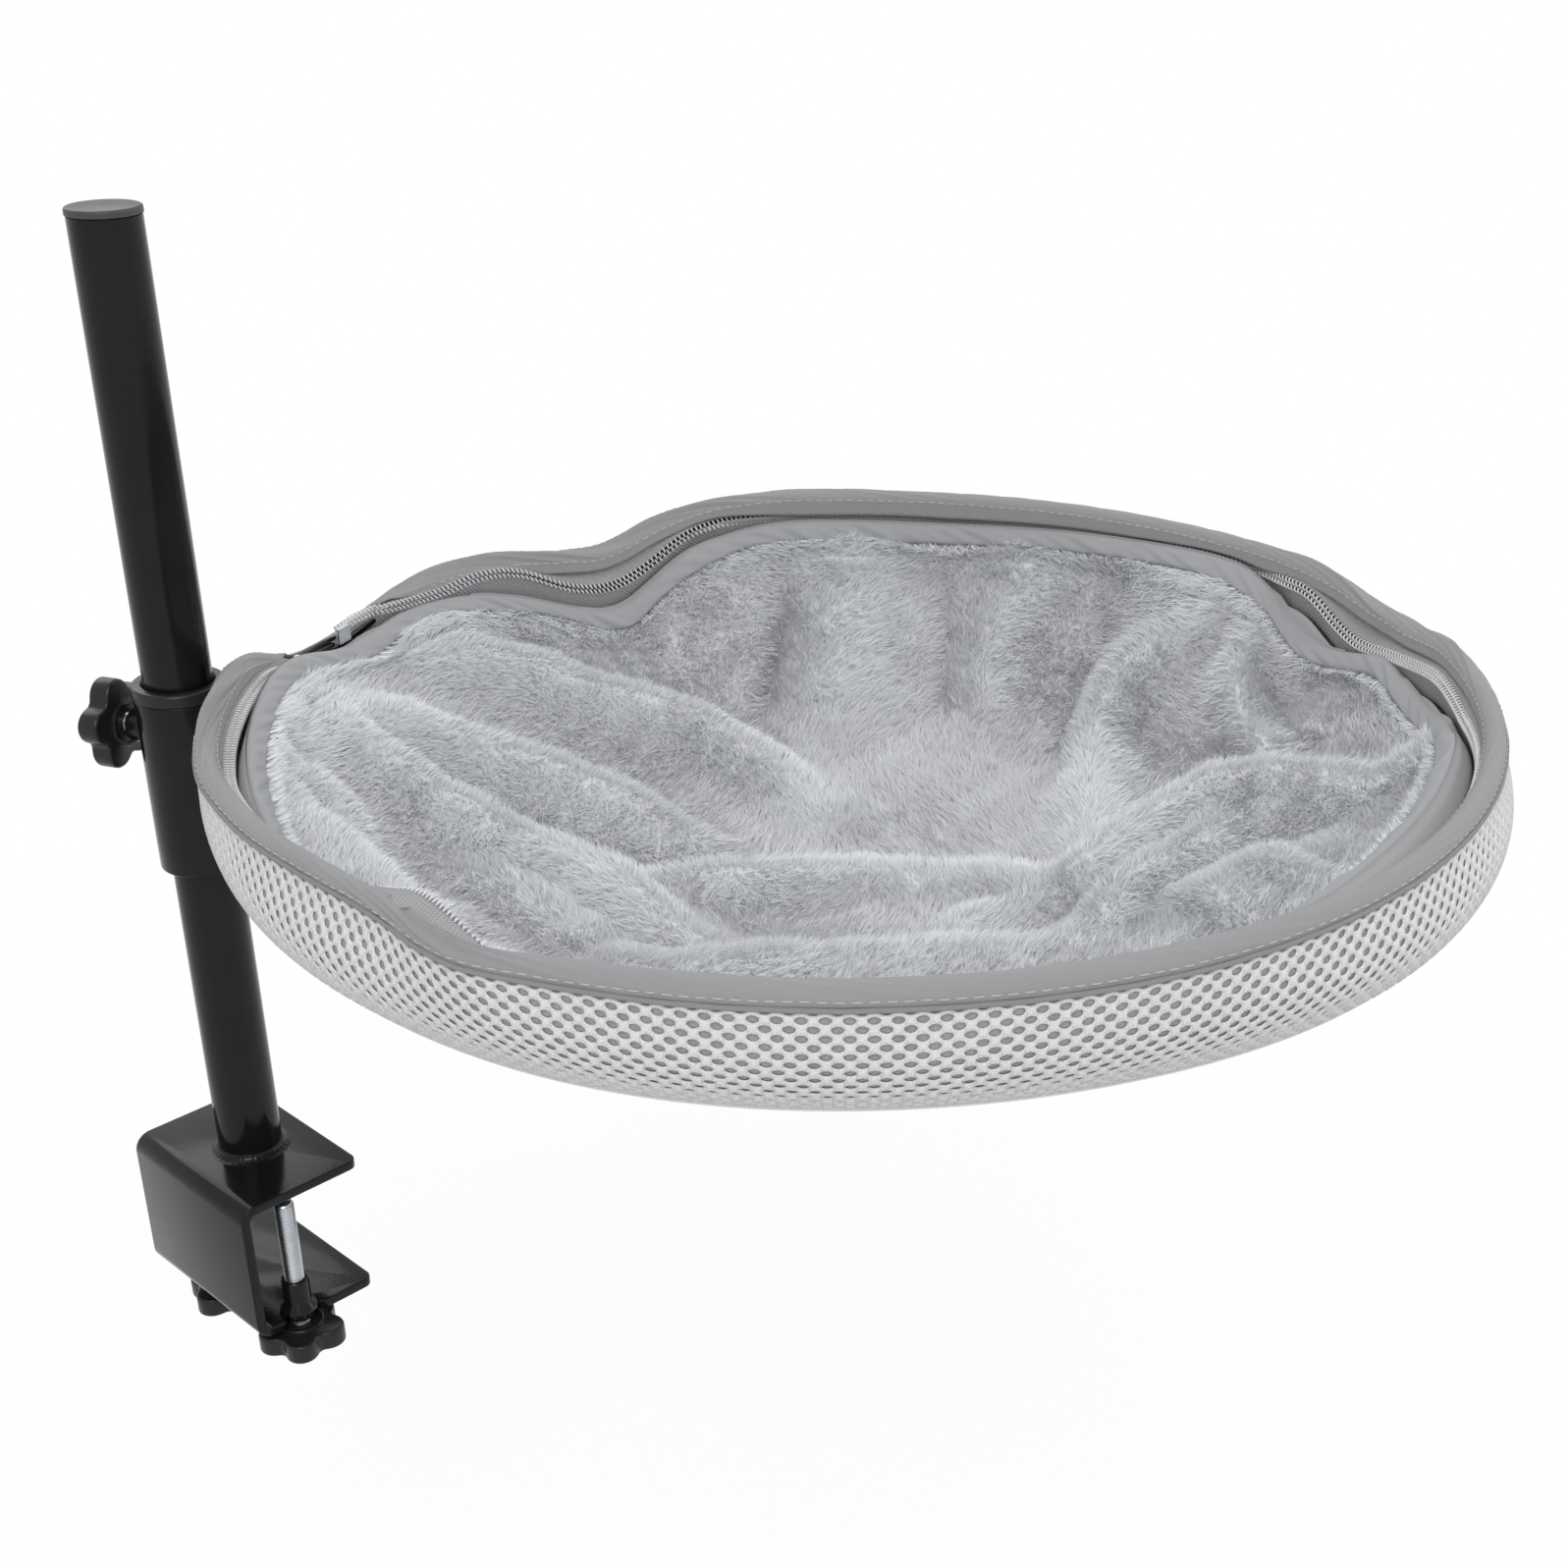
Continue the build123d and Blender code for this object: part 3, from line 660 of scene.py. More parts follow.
def makeWeld(values):
    # one rippled, slightly uneven bead round the pole's foot
    foot = poleLow.z / mm
    r = poleRadius / mm
    steps, rows, sunk = values["steps"], values["rows"], values["sunk"]
    points, faces = [], []
    rng = np.random.default_rng(3)
    wander = sum(rng.uniform(0.3, 1) * np.sin(np.arange(steps) / steps * math.tau * k + rng.uniform(0, 6))
                 for k in (2, 3, 5, 8)) / 3
    for i in range(steps):
        turn = i / steps * math.tau
        ripple = abs(math.sin(turn * values["beads"] / 2)) * values["lump"]
        grow = 1 + values["wander"] * wander[i]
        for k in range(rows):
            bow = math.pi / 2 * k / (rows - 1)
            out = values["reach"] * grow * (1 - math.sin(bow)) + ripple * math.sin(2 * bow)
            up = values["height"] * grow * (1 - math.cos(bow)) + ripple * math.sin(2 * bow)
            reach = r - sunk + out
            points.append((reach * math.cos(turn) * mm, reach * math.sin(turn) * mm, (foot - sunk + up) * mm))
        points.append(((r - 0.5) * math.cos(turn) * mm, (r - 0.5) * math.sin(turn) * mm, (foot - sunk) * mm))
    ring = rows + 1
    for i in range(steps):
        j = (i + 1) % steps
        faces += [[i * ring + k, j * ring + k, j * ring + (k + 1) % ring, i * ring + (k + 1) % ring]
                  for k in range(ring)]
    piece = meshPiece("poleWeld", points, faces)
    bakePlace(piece, onPole)
    return dress(piece, blackCoat, "black_steel", "bracket", "pole_weld")


makeWeld(weldShape)

nutShape = {"bore": 4.08, "barrel": 5.5, "collar": 7.5, "collarHigh": 1.6, "cone": 3, "edge": 0.5}


def makeNuts(values):
    low, high = levels("weld_nuts")
    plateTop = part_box("clamp_bracket")[0].z / mm + bracketShape["plate"]
    b, c, e = values["barrel"], values["collar"], values["edge"]
    outline = [(values["bore"], low), (b - e, low), (b, low + e), (b, plateTop), (c - e, plateTop), (c, plateTop + e)]
    outline += [(c, plateTop + values["collarHigh"]), (b, plateTop + values["collarHigh"] + values["cone"])]
    outline += [(b, high - e), (b - e, high), (values["bore"], high)]
    pieces = []
    for name, screw in (("weldNutNear", "clamp_screw_near"), ("weldNutFar", "clamp_screw_far")):
        spot = nodeCentre(screw)
        piece = turned(name, outline, Matrix.Translation((spot.x, spot.y, 0)), 64)
        pieces.append(dress(piece, blackCoat, "black_steel", "bracket", "weld_nuts"))
    return pieces


makeNuts(nutShape)

threadShape = {
    "pitch": 1.25,
    "depth": 0.62,
    "perTurn": 24,
    "chamfer": 0.9,
    "rowHeights": [0.0, 0.3, 0.5, 0.8],  # shares of the pitch
    "rowDepths": [1.0, 0.12, 0.12, 1.0],  # shares of the depth
}


def makeThreadedRod(name, length, radius, values, place):
    # one helical ridge that fades out at both ends, and a cap on each
    perTurn = values["perTurn"]
    heights, depths = values["rowHeights"], values["rowDepths"]
    rows = len(heights)
    points, faces = [], []
    total = int(length / values["pitch"]) + 2
    for k in range(total):
        for row in range(rows):
            for i in range(perTurn):
                z = (k - 1 + heights[row] + i / perTurn) * values["pitch"]
                z = min(max(z, 0), length)
                end = min(z, length - z)
                fade = min(1, end / values["chamfer"])
                r = radius - values["depth"] * depths[row]
                r = min(r, radius - values["chamfer"] * (1 - fade) * 0.9)
                turn = i / perTurn * math.tau
                points.append((r * math.cos(turn) * mm, r * math.sin(turn) * mm, z * mm))
    rings = total * rows
    for ring in range(rings - 1):
        for i in range(perTurn):
            j = i + 1
            a = ring * perTurn + i
            if j < perTurn:
                faces.append([a, a + 1, a + 1 + perTurn, a + perTurn])
            else:  # the seam climbs one pitch
                nextRing = ring + rows
                if nextRing + 1 < rings:
                    faces.append([a, nextRing * perTurn, (nextRing + 1) * perTurn, a + perTurn])
    faces.append([i for i in range(perTurn)][::-1])
    faces.append([(rings - 1) * perTurn + i for i in range(perTurn)])
    piece = meshPiece(name, points, faces)
    editAll(piece)
    bpy.ops.mesh.remove_doubles(threshold=0.000002)
    bpy.ops.mesh.dissolve_degenerate(threshold=0.000002)
    bpy.ops.mesh.fill_holes(sides=0)
    bpy.ops.mesh.select_all(action="SELECT")
    bpy.ops.mesh.normals_make_consistent(inside=False)
    endEdit()
    bpy.ops.object.shade_smooth_by_angle(angle=math.radians(50))
    bakePlace(piece, place)
    return piece


def makeClampScrews():
    for label in ("near", "far"):
        low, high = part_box(f"clamp_screw_{label}")
        place = Matrix.Translation(((low.x + high.x) / 2, (low.y + high.y) / 2, low.z))
        piece = makeThreadedRod(f"clampScrew{label.capitalize()}", (high.z - low.z) / mm, (high.x - low.x) / 2 / mm,
                                threadShape, place)
        dress(piece, zincSteel, "zinc_steel", f"clamp_screw_{label}", f"clamp_screw_{label}")


makeClampScrews()

knobShape = {
    "radius": 17.5,
    "lobes": 5,
    "lobe": 6.2,
    "core": 13.2,
    "grip": 8.5,
    "hub": 9,
    "hubHigh": 1.5,
    "ring": 7.2,
    "edge": 1.3,
    "dish": 8.6,
    "button": 5.4,
    "dishDeep": 1.6,
    "bore": 4.08,
    "boreDeep": 8.1,
    "lip": 0.3,
    "sharpness": 14,  # how sharply a lobe meets the core
    "count": 160,  # points round the knob
    "bowSteps": 6,
}


def lobedRadius(turn, values):
    # the radius of a ring of round lobes blended into a round core
    centre = values["radius"] - values["lobe"]
    pitch = math.tau / values["lobes"]
    off = (turn + pitch / 2) % pitch - pitch / 2
    inside = values["lobe"] ** 2 - (centre * math.sin(off)) ** 2
    reach = centre * math.cos(off) + math.sqrt(inside) if inside > 0 else 0
    power = values["sharpness"]
    return (reach ** power + values["core"] ** power) ** (1 / power)


def makeKnob(name, place, values, body, node):
    # rings from the button on the low side, out over the lobed grip, and in to the hub and its bore
    count = values["count"]
    piece = meshPiece(name, [], [])
    height = values["grip"] + values["hubHigh"]
    mesh = bmesh.new()
    turns = [i / count * math.tau for i in range(count)]

    def ringAt(scaleOf, z):
        made = []
        for turn in turns:
            r = scaleOf(turn) * mm
            made.append(mesh.verts.new((r * math.cos(turn), r * math.sin(turn), z * mm)))
        return made

    def bridge(first, second):
        for i in range(count):
            j = (i + 1) % count
            mesh.faces.new((first[i], first[j], second[j], second[i]))

    button, dish, hub, groove, bore = (values[key] for key in ("button", "dish", "hub", "ring", "bore"))
    deep, e, lip, top = values["dishDeep"], values["edge"], values["lip"], -values["hubHigh"]
    below = [(0.01, -height), (button - 0.4, -height), (button, 0.4 - height), (button + 0.1, deep - height),
             (dish - 0.2, deep - height), (dish, 0.4 - height), (dish + 0.4, -height)]
    above = [(hub + 0.5, top), (hub, top + lip), (hub, -lip), (hub - lip, 0), (groove + 0.35, 0),
             (groove + 0.2, -0.5), (groove - 0.2, -0.5), (groove - 0.35, 0), (bore + lip, 0), (bore, -lip),
             (bore, -values["boreDeep"]), (0.01, -values["boreDeep"])]
    rings = [ringAt(lambda turn, r=r: r, z) for r, z in below]
    bows = [math.pi / 2 * k / values["bowSteps"] for k in range(values["bowSteps"] + 1)]
    for bow in bows:  # the lower rim, rounded
        sunk = e * (1 - math.sin(bow))
        rings.append(ringAt(lambda turn, s=sunk: lobedRadius(turn, values) - s, e * (1 - math.cos(bow)) - height))
    for bow in bows:  # the upper rim, rounded
        sunk = e * (1 - math.cos(bow))
        rings.append(ringAt(lambda turn, s=sunk: lobedRadius(turn, values) - s, top - e * (1 - math.sin(bow))))
    rings += [ringAt(lambda turn, r=r: r, z) for r, z in above]
    for first, second in zip(rings, rings[1:]):
        bridge(first, second)
    bmesh.ops.remove_doubles(mesh, verts=mesh.verts, dist=0.00003)
    bmesh.ops.recalc_face_normals(mesh, faces=mesh.faces)
    mesh.to_mesh(piece.data)
    mesh.free()
    makeActive(piece)
    bpy.ops.object.shade_smooth_by_angle(angle=math.radians(38))
    bakePlace(piece, place)
    return dress(piece, blackPlastic, "black_plastic", body, node)


knobTurns = {"near": 20, "far": 52}  # degrees


def makeClampKnobs(turns):
    for label, degrees in turns.items():
        node = f"clamp_knob_{label}"
        spot = nodeCentre(f"clamp_screw_{label}")
        place = Matrix.Translation((spot.x, spot.y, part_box(node)[1].z))
        place = place @ Matrix.Rotation(math.radians(degrees), 4, "Z")
        makeKnob(f"clampKnob{label.capitalize()}", place, knobShape, node, node)


makeClampKnobs(knobTurns)

print("sleeve and lock")
hoopCentre = nodeCentre("hoop")
heading = math.atan2(hoopCentre.y - poleCentre.y, hoopCentre.x - poleCentre.x)
basketPlace = Matrix.Translation(hoopCentre) @ Matrix.Rotation(heading, 4, "Z")

sleeveShape = {"wall": 2.0, "edge": 0.6, "lowRound": 0.8}


def makeSleeve(values):
    left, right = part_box("sleeve")
    r = (right.x - left.x) / 2 / mm
    e, w, c = values["edge"], values["wall"], values["lowRound"]
    low, high = levels("sleeve")
    outline = [(r - w, low), (r - c, low)] + arcPoints((r - c, low + c), c, 270, 360, 5)
    outline += [(r, low + (high - low) * k / 6) for k in range(1, 6)]
    outline += arcPoints((r - e, high - e), e, 0, 90, 4) + [(r - w, high)]
    piece = turned("sleeveTube", outline, onPole, 128)
    return dress(piece, blackCoat, "black_steel", "basket", "sleeve")


makeSleeve(sleeveShape)

bushShape = {
    "bore": 12.6,
    "barrel": 14.4,
    "flange": 17,
    "flangeHigh": 5,
    "round": 1.4,
    "mouth": 0.9,
    "edge": 0.4,
    "lowEdge": 0.3,
}


def makeBushes(values):
    bore, barrel, e = values["bore"], values["barrel"], values["edge"]
    low, high = levels("bush_upper")
    f, c = values["flange"], values["round"]
    start = high - values["flangeHigh"]
    outline = [(bore, low), (barrel, low), (barrel, start), (f - e, start), (f, start + e)]
    outline += arcPoints((f - c, high - c), c, 0, 90, 6)
    outline += [(bore + values["mouth"], high), (bore, high - values["mouth"])]
    upper = turned("bushUpper", outline, onPole, 96)
    dress(upper, blackPlastic, "black_plastic", "carriage", "bush_upper")
    low, high = levels("bush_lower")
    c = values["lowEdge"]
    outline = [(bore, low + e), (bore + e, low), (barrel - c, low), (barrel, low + c), (barrel, high), (bore, high)]
    lower = turned("bushLower", outline, onPole, 96)
    dress(lower, blackPlastic, "black_plastic", "carriage", "bush_lower")


makeBushes(bushShape)

lockShape = {
    "heading": 167.5,  # degrees from the basket's heading
    "height": 186,
    "boss": 6.6,
    "bossEdge": 0.9,
    "bossSunk": 3.5,
    "sleeve": 16.5,
    "reach": 5.5,
    "gap": 2.5,
    "inKnob": 8,
    "fromPole": 0.3,
    "turn": 8,  # degrees of the knob on its screw
}


def lockPlace(outwards):
    # a frame on the lock screw's axis, Z outwards, that many millimetres from the pole's axis
    turn = heading + math.radians(lockShape["heading"])
    place = Matrix.Translation((poleCentre.x, poleCentre.y, lockShape["height"] * mm))
    place = place @ Matrix.Rotation(turn, 4, "Z") @ Matrix.Rotation(math.pi / 2, 4, "Y")
    return place @ Matrix.Translation((0, 0, outwards * mm))


def makeLock(values):
    low, high = -values["bossSunk"], values["reach"]
    b, e, bore = values["boss"], values["bossEdge"], knobShape["bore"]
    outline = [(bore, low), (b, low), (b, high - e)] + arcPoints((b - e, high - e), e, 0, 90, 5) + [(bore, high)]
    boss = turned("lockBoss", outline, lockPlace(values["sleeve"]), 64)
    dress(boss, blackCoat, "black_steel", "basket", "lock_boss")
    start = poleRadius / mm + values["fromPole"]
    hub = values["sleeve"] + values["reach"] + values["gap"]
    rod = makeThreadedRod("lockScrew", hub + values["inKnob"] - start, 4, threadShape, lockPlace(start))
    dress(rod, zincSteel, "zinc_steel", "lock_screw", "lock_screw")
    place = lockPlace(hub) @ Matrix.Rotation(math.pi, 4, "Y") @ Matrix.Rotation(math.radians(values["turn"]), 4, "Z")
    makeKnob("lockKnob", place, knobShape, "lock_knob", "lock_knob")


makeLock(lockShape)
paint(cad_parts["hoop_arm"], blackCoat)


print("basket cloth")
bowl = {
    "wall": 229.5,
    "wallDrop": 14,
    "bend": 32,
    "depth": 100,
    "hoop": 222,
    "pullFades": 17,  # run below the rim over which the shell leaves the rim's pull
    "riseFades": 22,  # and its rise
    "underRim": 2.3,
}
bowl["across"] = bowl["wall"] - bowl["bend"]
bowl["floorRadius"] = (bowl["across"] ** 2 + (bowl["depth"] - bowl["wallDrop"]) ** 2 - bowl["bend"] ** 2) / (
    2 * (bowl["depth"] - bowl["wallDrop"] - bowl["bend"]))
bowl["floorCentre"] = bowl["floorRadius"] - bowl["depth"]
bowl["lean"] = math.atan2(bowl["wallDrop"] + bowl["floorCentre"], bowl["across"])  # angle of the joint below level
bowl["bendEnd"] = bowl["wallDrop"] + bowl["bend"] * bowl["lean"]
bowl["slope"] = math.pi / 2 - bowl["lean"]
bowl["run"] = bowl["bendEnd"] + bowl["floorRadius"] * bowl["slope"]


def bowlPoint(run, inward):
    # radius and height of points that lie a run down the bowl from the rim's level, sunk inward from its outside
    run, inward = np.broadcast_arrays(np.asarray(run, float), np.asarray(inward, float))
    onWall = run < bowl["wallDrop"]
    onBend = (~onWall) & (run < bowl["bendEnd"])
    bow = np.clip((run - bowl["wallDrop"]) / bowl["bend"], 0, bowl["lean"])
    tilt = np.clip(bowl["slope"] - (run - bowl["bendEnd"]) / bowl["floorRadius"], 0, bowl["slope"])
    radius = np.where(onWall, bowl["wall"] - inward,
                      np.where(onBend, bowl["across"] + (bowl["bend"] - inward) * np.cos(bow),
                               (bowl["floorRadius"] - inward) * np.sin(tilt)))
    height = np.where(onWall, -run,
                      np.where(onBend, -bowl["wallDrop"] - (bowl["bend"] - inward) * np.sin(bow),
                               bowl["floorCentre"] - (bowl["floorRadius"] - inward) * np.cos(tilt)))
    return radius, height


def basketPoints(radius, turn, height):
    # cylinder coordinates in the hoop's frame, millimetres and radians, to points in metres in that frame
    return np.stack([radius * np.cos(turn), radius * np.sin(turn), height + 0 * turn], -1) * mm


def turnsOf(count):
    # evenly spaced angles of a full turn
    return np.arange(count) / count * math.tau


def sectionOf(turn, line):
    # a section given as (radius, height) pairs of arrays, as a grid of points round and across
    reach = np.stack([r for r, z in line], 1)
    height = np.stack([z for r, z in line], 1)
    return basketPoints(reach, turn[:, None], height)


def intoBasket(piece):
    bakePlace(piece, basketPlace)
    return piece


def waveOf(table, turn, spread=2.0):
    # a smooth closed curve through (angle, value) pairs, at angles in radians
    angles = np.array([a for a, v in table], float) % 360
    values = np.array([v for a, v in table], float)
    order = np.argsort(angles)
    grid = np.arange(0, 360, 0.5)
    line = np.interp(grid, angles[order], values[order], period=360)
    offsets = np.arange(-40, 41)
    kernel = np.exp(-0.5 * (offsets * 0.5 / spread) ** 2)
    kernel /= kernel.sum()
    soft = np.zeros_like(line)
    for offset, share in zip(offsets, kernel):
        soft += share * np.roll(line, -offset)
    return np.interp(np.degrees(turn) % 360, grid, soft, period=360)


def ripples(turn, rng, waves, size):
    # uneven small waves round the rim
    total = np.zeros_like(turn)
    for count in waves:
        total += rng.uniform(0.4, 1) * np.sin(turn * count + rng.uniform(0, math.tau))
    return total * size / math.sqrt(len(waves))


def widthsOf(section):
    # how far round the first section each of its points lies, in millimetres
    steps = np.linalg.norm(np.diff(section[0], axis=0, append=section[0][:1]), axis=1) / mm
    return np.concatenate([[0], np.cumsum(steps)])


def loftRing(name, section):
    # skins a grid of points (round the rim, across the section) with UVs in millimetres
    around, across = section.shape[:2]
    points = section.reshape(-1, 3)
    i = np.arange(around)[:, None]
    k = np.arange(across)[None, :]
    a = i * across + k
    b = ((i + 1) % around) * across + k
    c = ((i + 1) % around) * across + (k + 1) % across
    d = i * across + (k + 1) % across
    faces = np.stack([a, b, c, d], -1).reshape(-1, 4)
    piece = meshPiece(name, points, faces.tolist())
    acrossAt = widthsOf(section)
    aroundAt = np.arange(around + 1) / around * math.tau * bowl["hoop"]
    layer = piece.data.uv_layers.new(name="UVMap")
    u = np.stack([i + 0 * k, i + 1 + 0 * k, i + 1 + 0 * k, i + 0 * k], -1).reshape(-1)
    v = np.stack([k + 0 * i, k + 0 * i, k + 1 + 0 * i, k + 1 + 0 * i], -1).reshape(-1)
    flat = np.stack([aroundAt[u], acrossAt[v]], -1)
    layer.data.foreach_set("uv", flat.astype(np.float32).reshape(-1))
    facesOutward(piece)
    return intoBasket(piece)


# how the rim leaves a true circle, at angles from the basket's heading, in millimetres
ring = {
    "outline": 4.9,
    "rod": 2.6,
    "tube": [(110, 4.5), (140, 4.6), (160, 4.3), (172, 4.0), (185, 3.6), (245, 3.5), (262, 4.8), (305, 4.8),
             (322, 3.8), (355, 3.7), (20, 4.1), (60, 4.5)],
    "pull": [(160, -2), (178, -2), (181, -2.5), (185, -3.5), (190, -4.2), (206, -4.2), (213, -7), (220, -9.2),
             (228, -12.4), (235, -12.8), (240, -10.5), (244, -5), (249, -0.5), (256, -2.7), (270, -2.9),
             (285, -2.5), (300, -1), (320, 0), (60, 0), (105, 0), (112, -2), (116, -4), (121, -9), (127, -12.5),
             (133, -12), (140, -8), (147, -5), (154, -3)],
    "rise": [(190, 2.6), (184, 3), (178, -1), (174, -7.7), (171, -12.1), (167, -15), (163, -15), (160, -12.5),
             (157, -9.6), (154, -7.9), (149, -4.6), (144, -3.6), (141, -4.3), (137, -6.3), (132, -8.4), (129, -10),
             (127, -8.9), (124, -6.5), (122, -3.1), (119, -0.6), (116, 1.1), (112, 3.2), (105, 3.7), (91, 2.9),
             (42, 2.9), (36, 1.5), (30, -2), (22, -1.9), (14, 2.6), (0, 2.2), (-20, 1.2), (-45, 0.3), (-70, 0),
             (-130, 0.2), (-150, 1), (-162, 2)],
    "wallPull": [(105, 0), (125, -5), (150, -6), (185, -6), (240, -6), (252, -4.8), (285, -4.2), (300, -2.5),
                 (312, 1), (325, 4.5), (340, 5), (355, 4.5), (8, 2.5), (25, 0)],
}


def tubeOf(turn):
    # the cover's radius
    return waveOf(ring["tube"], turn, 4)


def ringPull(turn):
    # where the rod lies, so that the cover's outer side keeps its line
    return waveOf(ring["pull"], turn, 1.5) + ring["outline"] - tubeOf(turn)


def ringRise(turn):
    return waveOf(ring["rise"], turn, 1.3)


def shellPoint(run, inward, turn):
    # a point of the bowl that follows the rim's real line near the top and calms down towards the floor
    radius, height = bowlPoint(run, inward)
    near = np.exp(-(np.maximum(run, 0) / bowl["pullFades"]) ** 2)
    low = np.clip((bowl["run"] - run) / (bowl["run"] - bowl["bendEnd"]), 0, 1)
    wall = waveOf(ring["wallPull"], turn, 5)
    pull = (wall + (waveOf(ring["pull"], turn, 1.5) - bowl["underRim"] - wall) * near) * low
    return radius + pull, height + ringRise(turn) * np.exp(-(np.maximum(run, 0) / bowl["riseFades"]) ** 2)


airMesh = {
    "holesAround": 216,
    "rows": 16,
    "top": 2.4,
    "holeWide": 3.7,
    "holeHigh": 2.7,
    "puff": 0.35,
    "holeDeep": 0.9,
    "backing": 1.2,
    "backingThick": 0.3,
    "backingAround": 240,
    "backingRows": (18, 34),  # rows down the wall and over the floor
    "floorPitch": 6.66,
    "floorRow": 2.7,
    "holeSides": 12,
    "floorHoleSides": 8,
    "mouth": 1.15,  # how much wider a hole's rounded mouth is
    "floorMouth": 1.18,
}


def cellPoints(pitch, row, wide, high, count):
    # the hexagon round one hole as corners and side middles, and the hole itself, both anticlockwise
    cornerX = ((pitch / 2) ** 2 + row ** 2) / pitch
    topX = cornerX - row * row / (pitch / 2)
    corners = [(cornerX, 0), (topX, row), (-topX, row), (-cornerX, 0), (-topX, -row), (topX, -row)]
    if count == 12:
        edge = []
        for index, corner in enumerate(corners):
            after = corners[(index + 1) % 6]
            edge += [corner, ((corner[0] + after[0]) / 2, (corner[1] + after[1]) / 2)]
    else:
        edge = corners
    hole = [(wide / 2 * math.cos(t), high / 2 * math.sin(t)) for t in turnsOf(count)]
    return np.array(edge), np.array(hole)


def meshStrip(values):
    # the wall of the basket: rows of oval holes that follow the rim
    count = values["holeSides"]
    rowPitch = (bowl["bendEnd"] - values["top"]) / values["rows"]
    pitch = math.tau * bowl["wall"] / values["holesAround"]
    edge, hole = cellPoints(pitch, rowPitch, values["holeWide"], values["holeHigh"], count)
    rows = np.arange(values["rows"] + 1)
    cells = np.arange(values["holesAround"])
    rowOf, cellOf = np.meshgrid(rows, cells, indexing="ij")
    rowOf, cellOf = rowOf.ravel(), cellOf.ravel()
    across = (cellOf + 0.5 * (rowOf % 2)) * pitch
    down = values["top"] + rowOf * rowPitch
    points, spots = [], []
    for shape, inward in [(edge, values["puff"]), (hole * values["mouth"], 0.0), (hole, values["holeDeep"])]:
        x = across[:, None] + shape[None, :, 0]
        s = np.clip(down[:, None] - shape[None, :, 1], values["top"], bowl["bendEnd"])
        radius, height = shellPoint(s, inward, x / bowl["wall"])
        points.append(basketPoints(radius, x / bowl["wall"], height))
        spots.append(np.stack([x, s], -1))
    return cellFaces("meshStrip", points, spots, count, count)


def cellFaces(name, points, spots, edgeCount, count):
    # joins each cell's rings: the hexagon to the hole, and the hole down into the cloth
    cells, layers = len(points[0]), len(points)
    points = np.concatenate(points, 1).reshape(-1, 3)
    spots = np.concatenate(spots, 1).reshape(-1, 2)
    perCell = edgeCount + count * (layers - 1)
    pattern = []
    if edgeCount == count:
        for i in range(count):
            j = (i + 1) % count
            pattern.append([i, j, edgeCount + j, edgeCount + i])
    else:
        share = count / edgeCount
        for i in range(edgeCount):
            a, b = edgeCount + int(round(i * share)) % count, edgeCount + int(round((i + 1) * share)) % count
            j = (i + 1) % edgeCount
            mid = a + 1 if a + 1 < edgeCount + count else edgeCount
            if mid == b:
                pattern.append([i, j, b, a])
            else:
                pattern.append([i, j, b, mid, a])
    for layer in range(1, layers - 1):
        start = edgeCount + count * (layer - 1)
        for i in range(count):
            j = (i + 1) % count
            pattern.append([start + i, start + j, start + count + j, start + count + i])
    piece = meshPiece(name, points, [[cell * perCell + v for v in face] for cell in range(cells) for face in pattern])
    loops = np.zeros(len(piece.data.loops), int)
    piece.data.loops.foreach_get("vertex_index", loops)
    layer = piece.data.uv_layers.new(name="UVMap")
    layer.data.foreach_set("uv", spots[loops].astype(np.float32).reshape(-1))
    editAll(piece)
    bpy.ops.mesh.remove_doubles(threshold=0.00002)
    bpy.ops.mesh.dissolve_degenerate(threshold=0.00002)
    bpy.ops.mesh.select_all(action="DESELECT")
    bpy.ops.mesh.select_mode(type="VERT")
    bpy.ops.mesh.select_loose()
    bpy.ops.mesh.delete(type="VERT")
    endEdit()
    return intoBasket(piece)


def meshFloor(name, values, side):
    # half of the round bottom panel, whose rows run straight across
    count = values["floorHoleSides"]
    pitch, row = values["floorPitch"], values["floorRow"]
    reach = bowl["run"] - bowl["bendEnd"]
    edge, hole = cellPoints(pitch, row, values["holeWide"], values["holeHigh"], count)
    rows = np.arange(-int(reach / row) - 1, int(reach / row) + 2)
    cells = np.arange(-int(reach / pitch) - 2, int(reach / pitch) + 3)
    rowOf, cellOf = np.meshgrid(rows, cells, indexing="ij")
    x = ((cellOf + 0.5 * (rowOf % 2)) * pitch).ravel()
    y = (rowOf * row).ravel()
    keep = (np.hypot(x, y) < reach + 1.5) & ((rowOf.ravel() >= 0) == (side > 0))
    x, y = x[keep], y[keep]
    points, spots = [], []
    for shape, inward in [(edge, values["puff"]), (hole * values["floorMouth"], 0.0), (hole, values["holeDeep"])]:
        px = x[:, None] + shape[None, :, 0]
        py = y[:, None] + shape[None, :, 1]
        q = np.hypot(px, py)
        shrink = np.minimum(1, reach / np.maximum(q, 0.001))
        turn = np.arctan2(py, px)
        radius, height = shellPoint(bowl["run"] - q * shrink, inward, turn)
        points.append(basketPoints(radius, turn, height))
        spots.append(np.stack([px, py], -1))
    return cellFaces(name, points, spots, len(edge), count)


def meshBacking(values):
    # the closed inner face of the air mesh
    wallRows, floorRows = values["backingRows"]
    runs = np.concatenate([np.linspace(values["top"] - 0.5, bowl["bendEnd"], wallRows),
                           np.linspace(bowl["bendEnd"] + 8, bowl["run"] - 2, floorRows)])
    turn = turnsOf(values["backingAround"])
    rows = []
    for inward, order in ((values["backing"], runs), (values["backing"] + values["backingThick"], runs[::-1])):
        radius, height = shellPoint(order[None, :], inward, turn[:, None])
        rows.append(basketPoints(radius, turn[:, None], height))
    return loftRing("meshBacking", np.concatenate(rows, 1))


seamShape = {"around": 720, "sides": 8, "proud": 0.1, "thick": 0.8, "lump": 0.12, "lumps": 360}


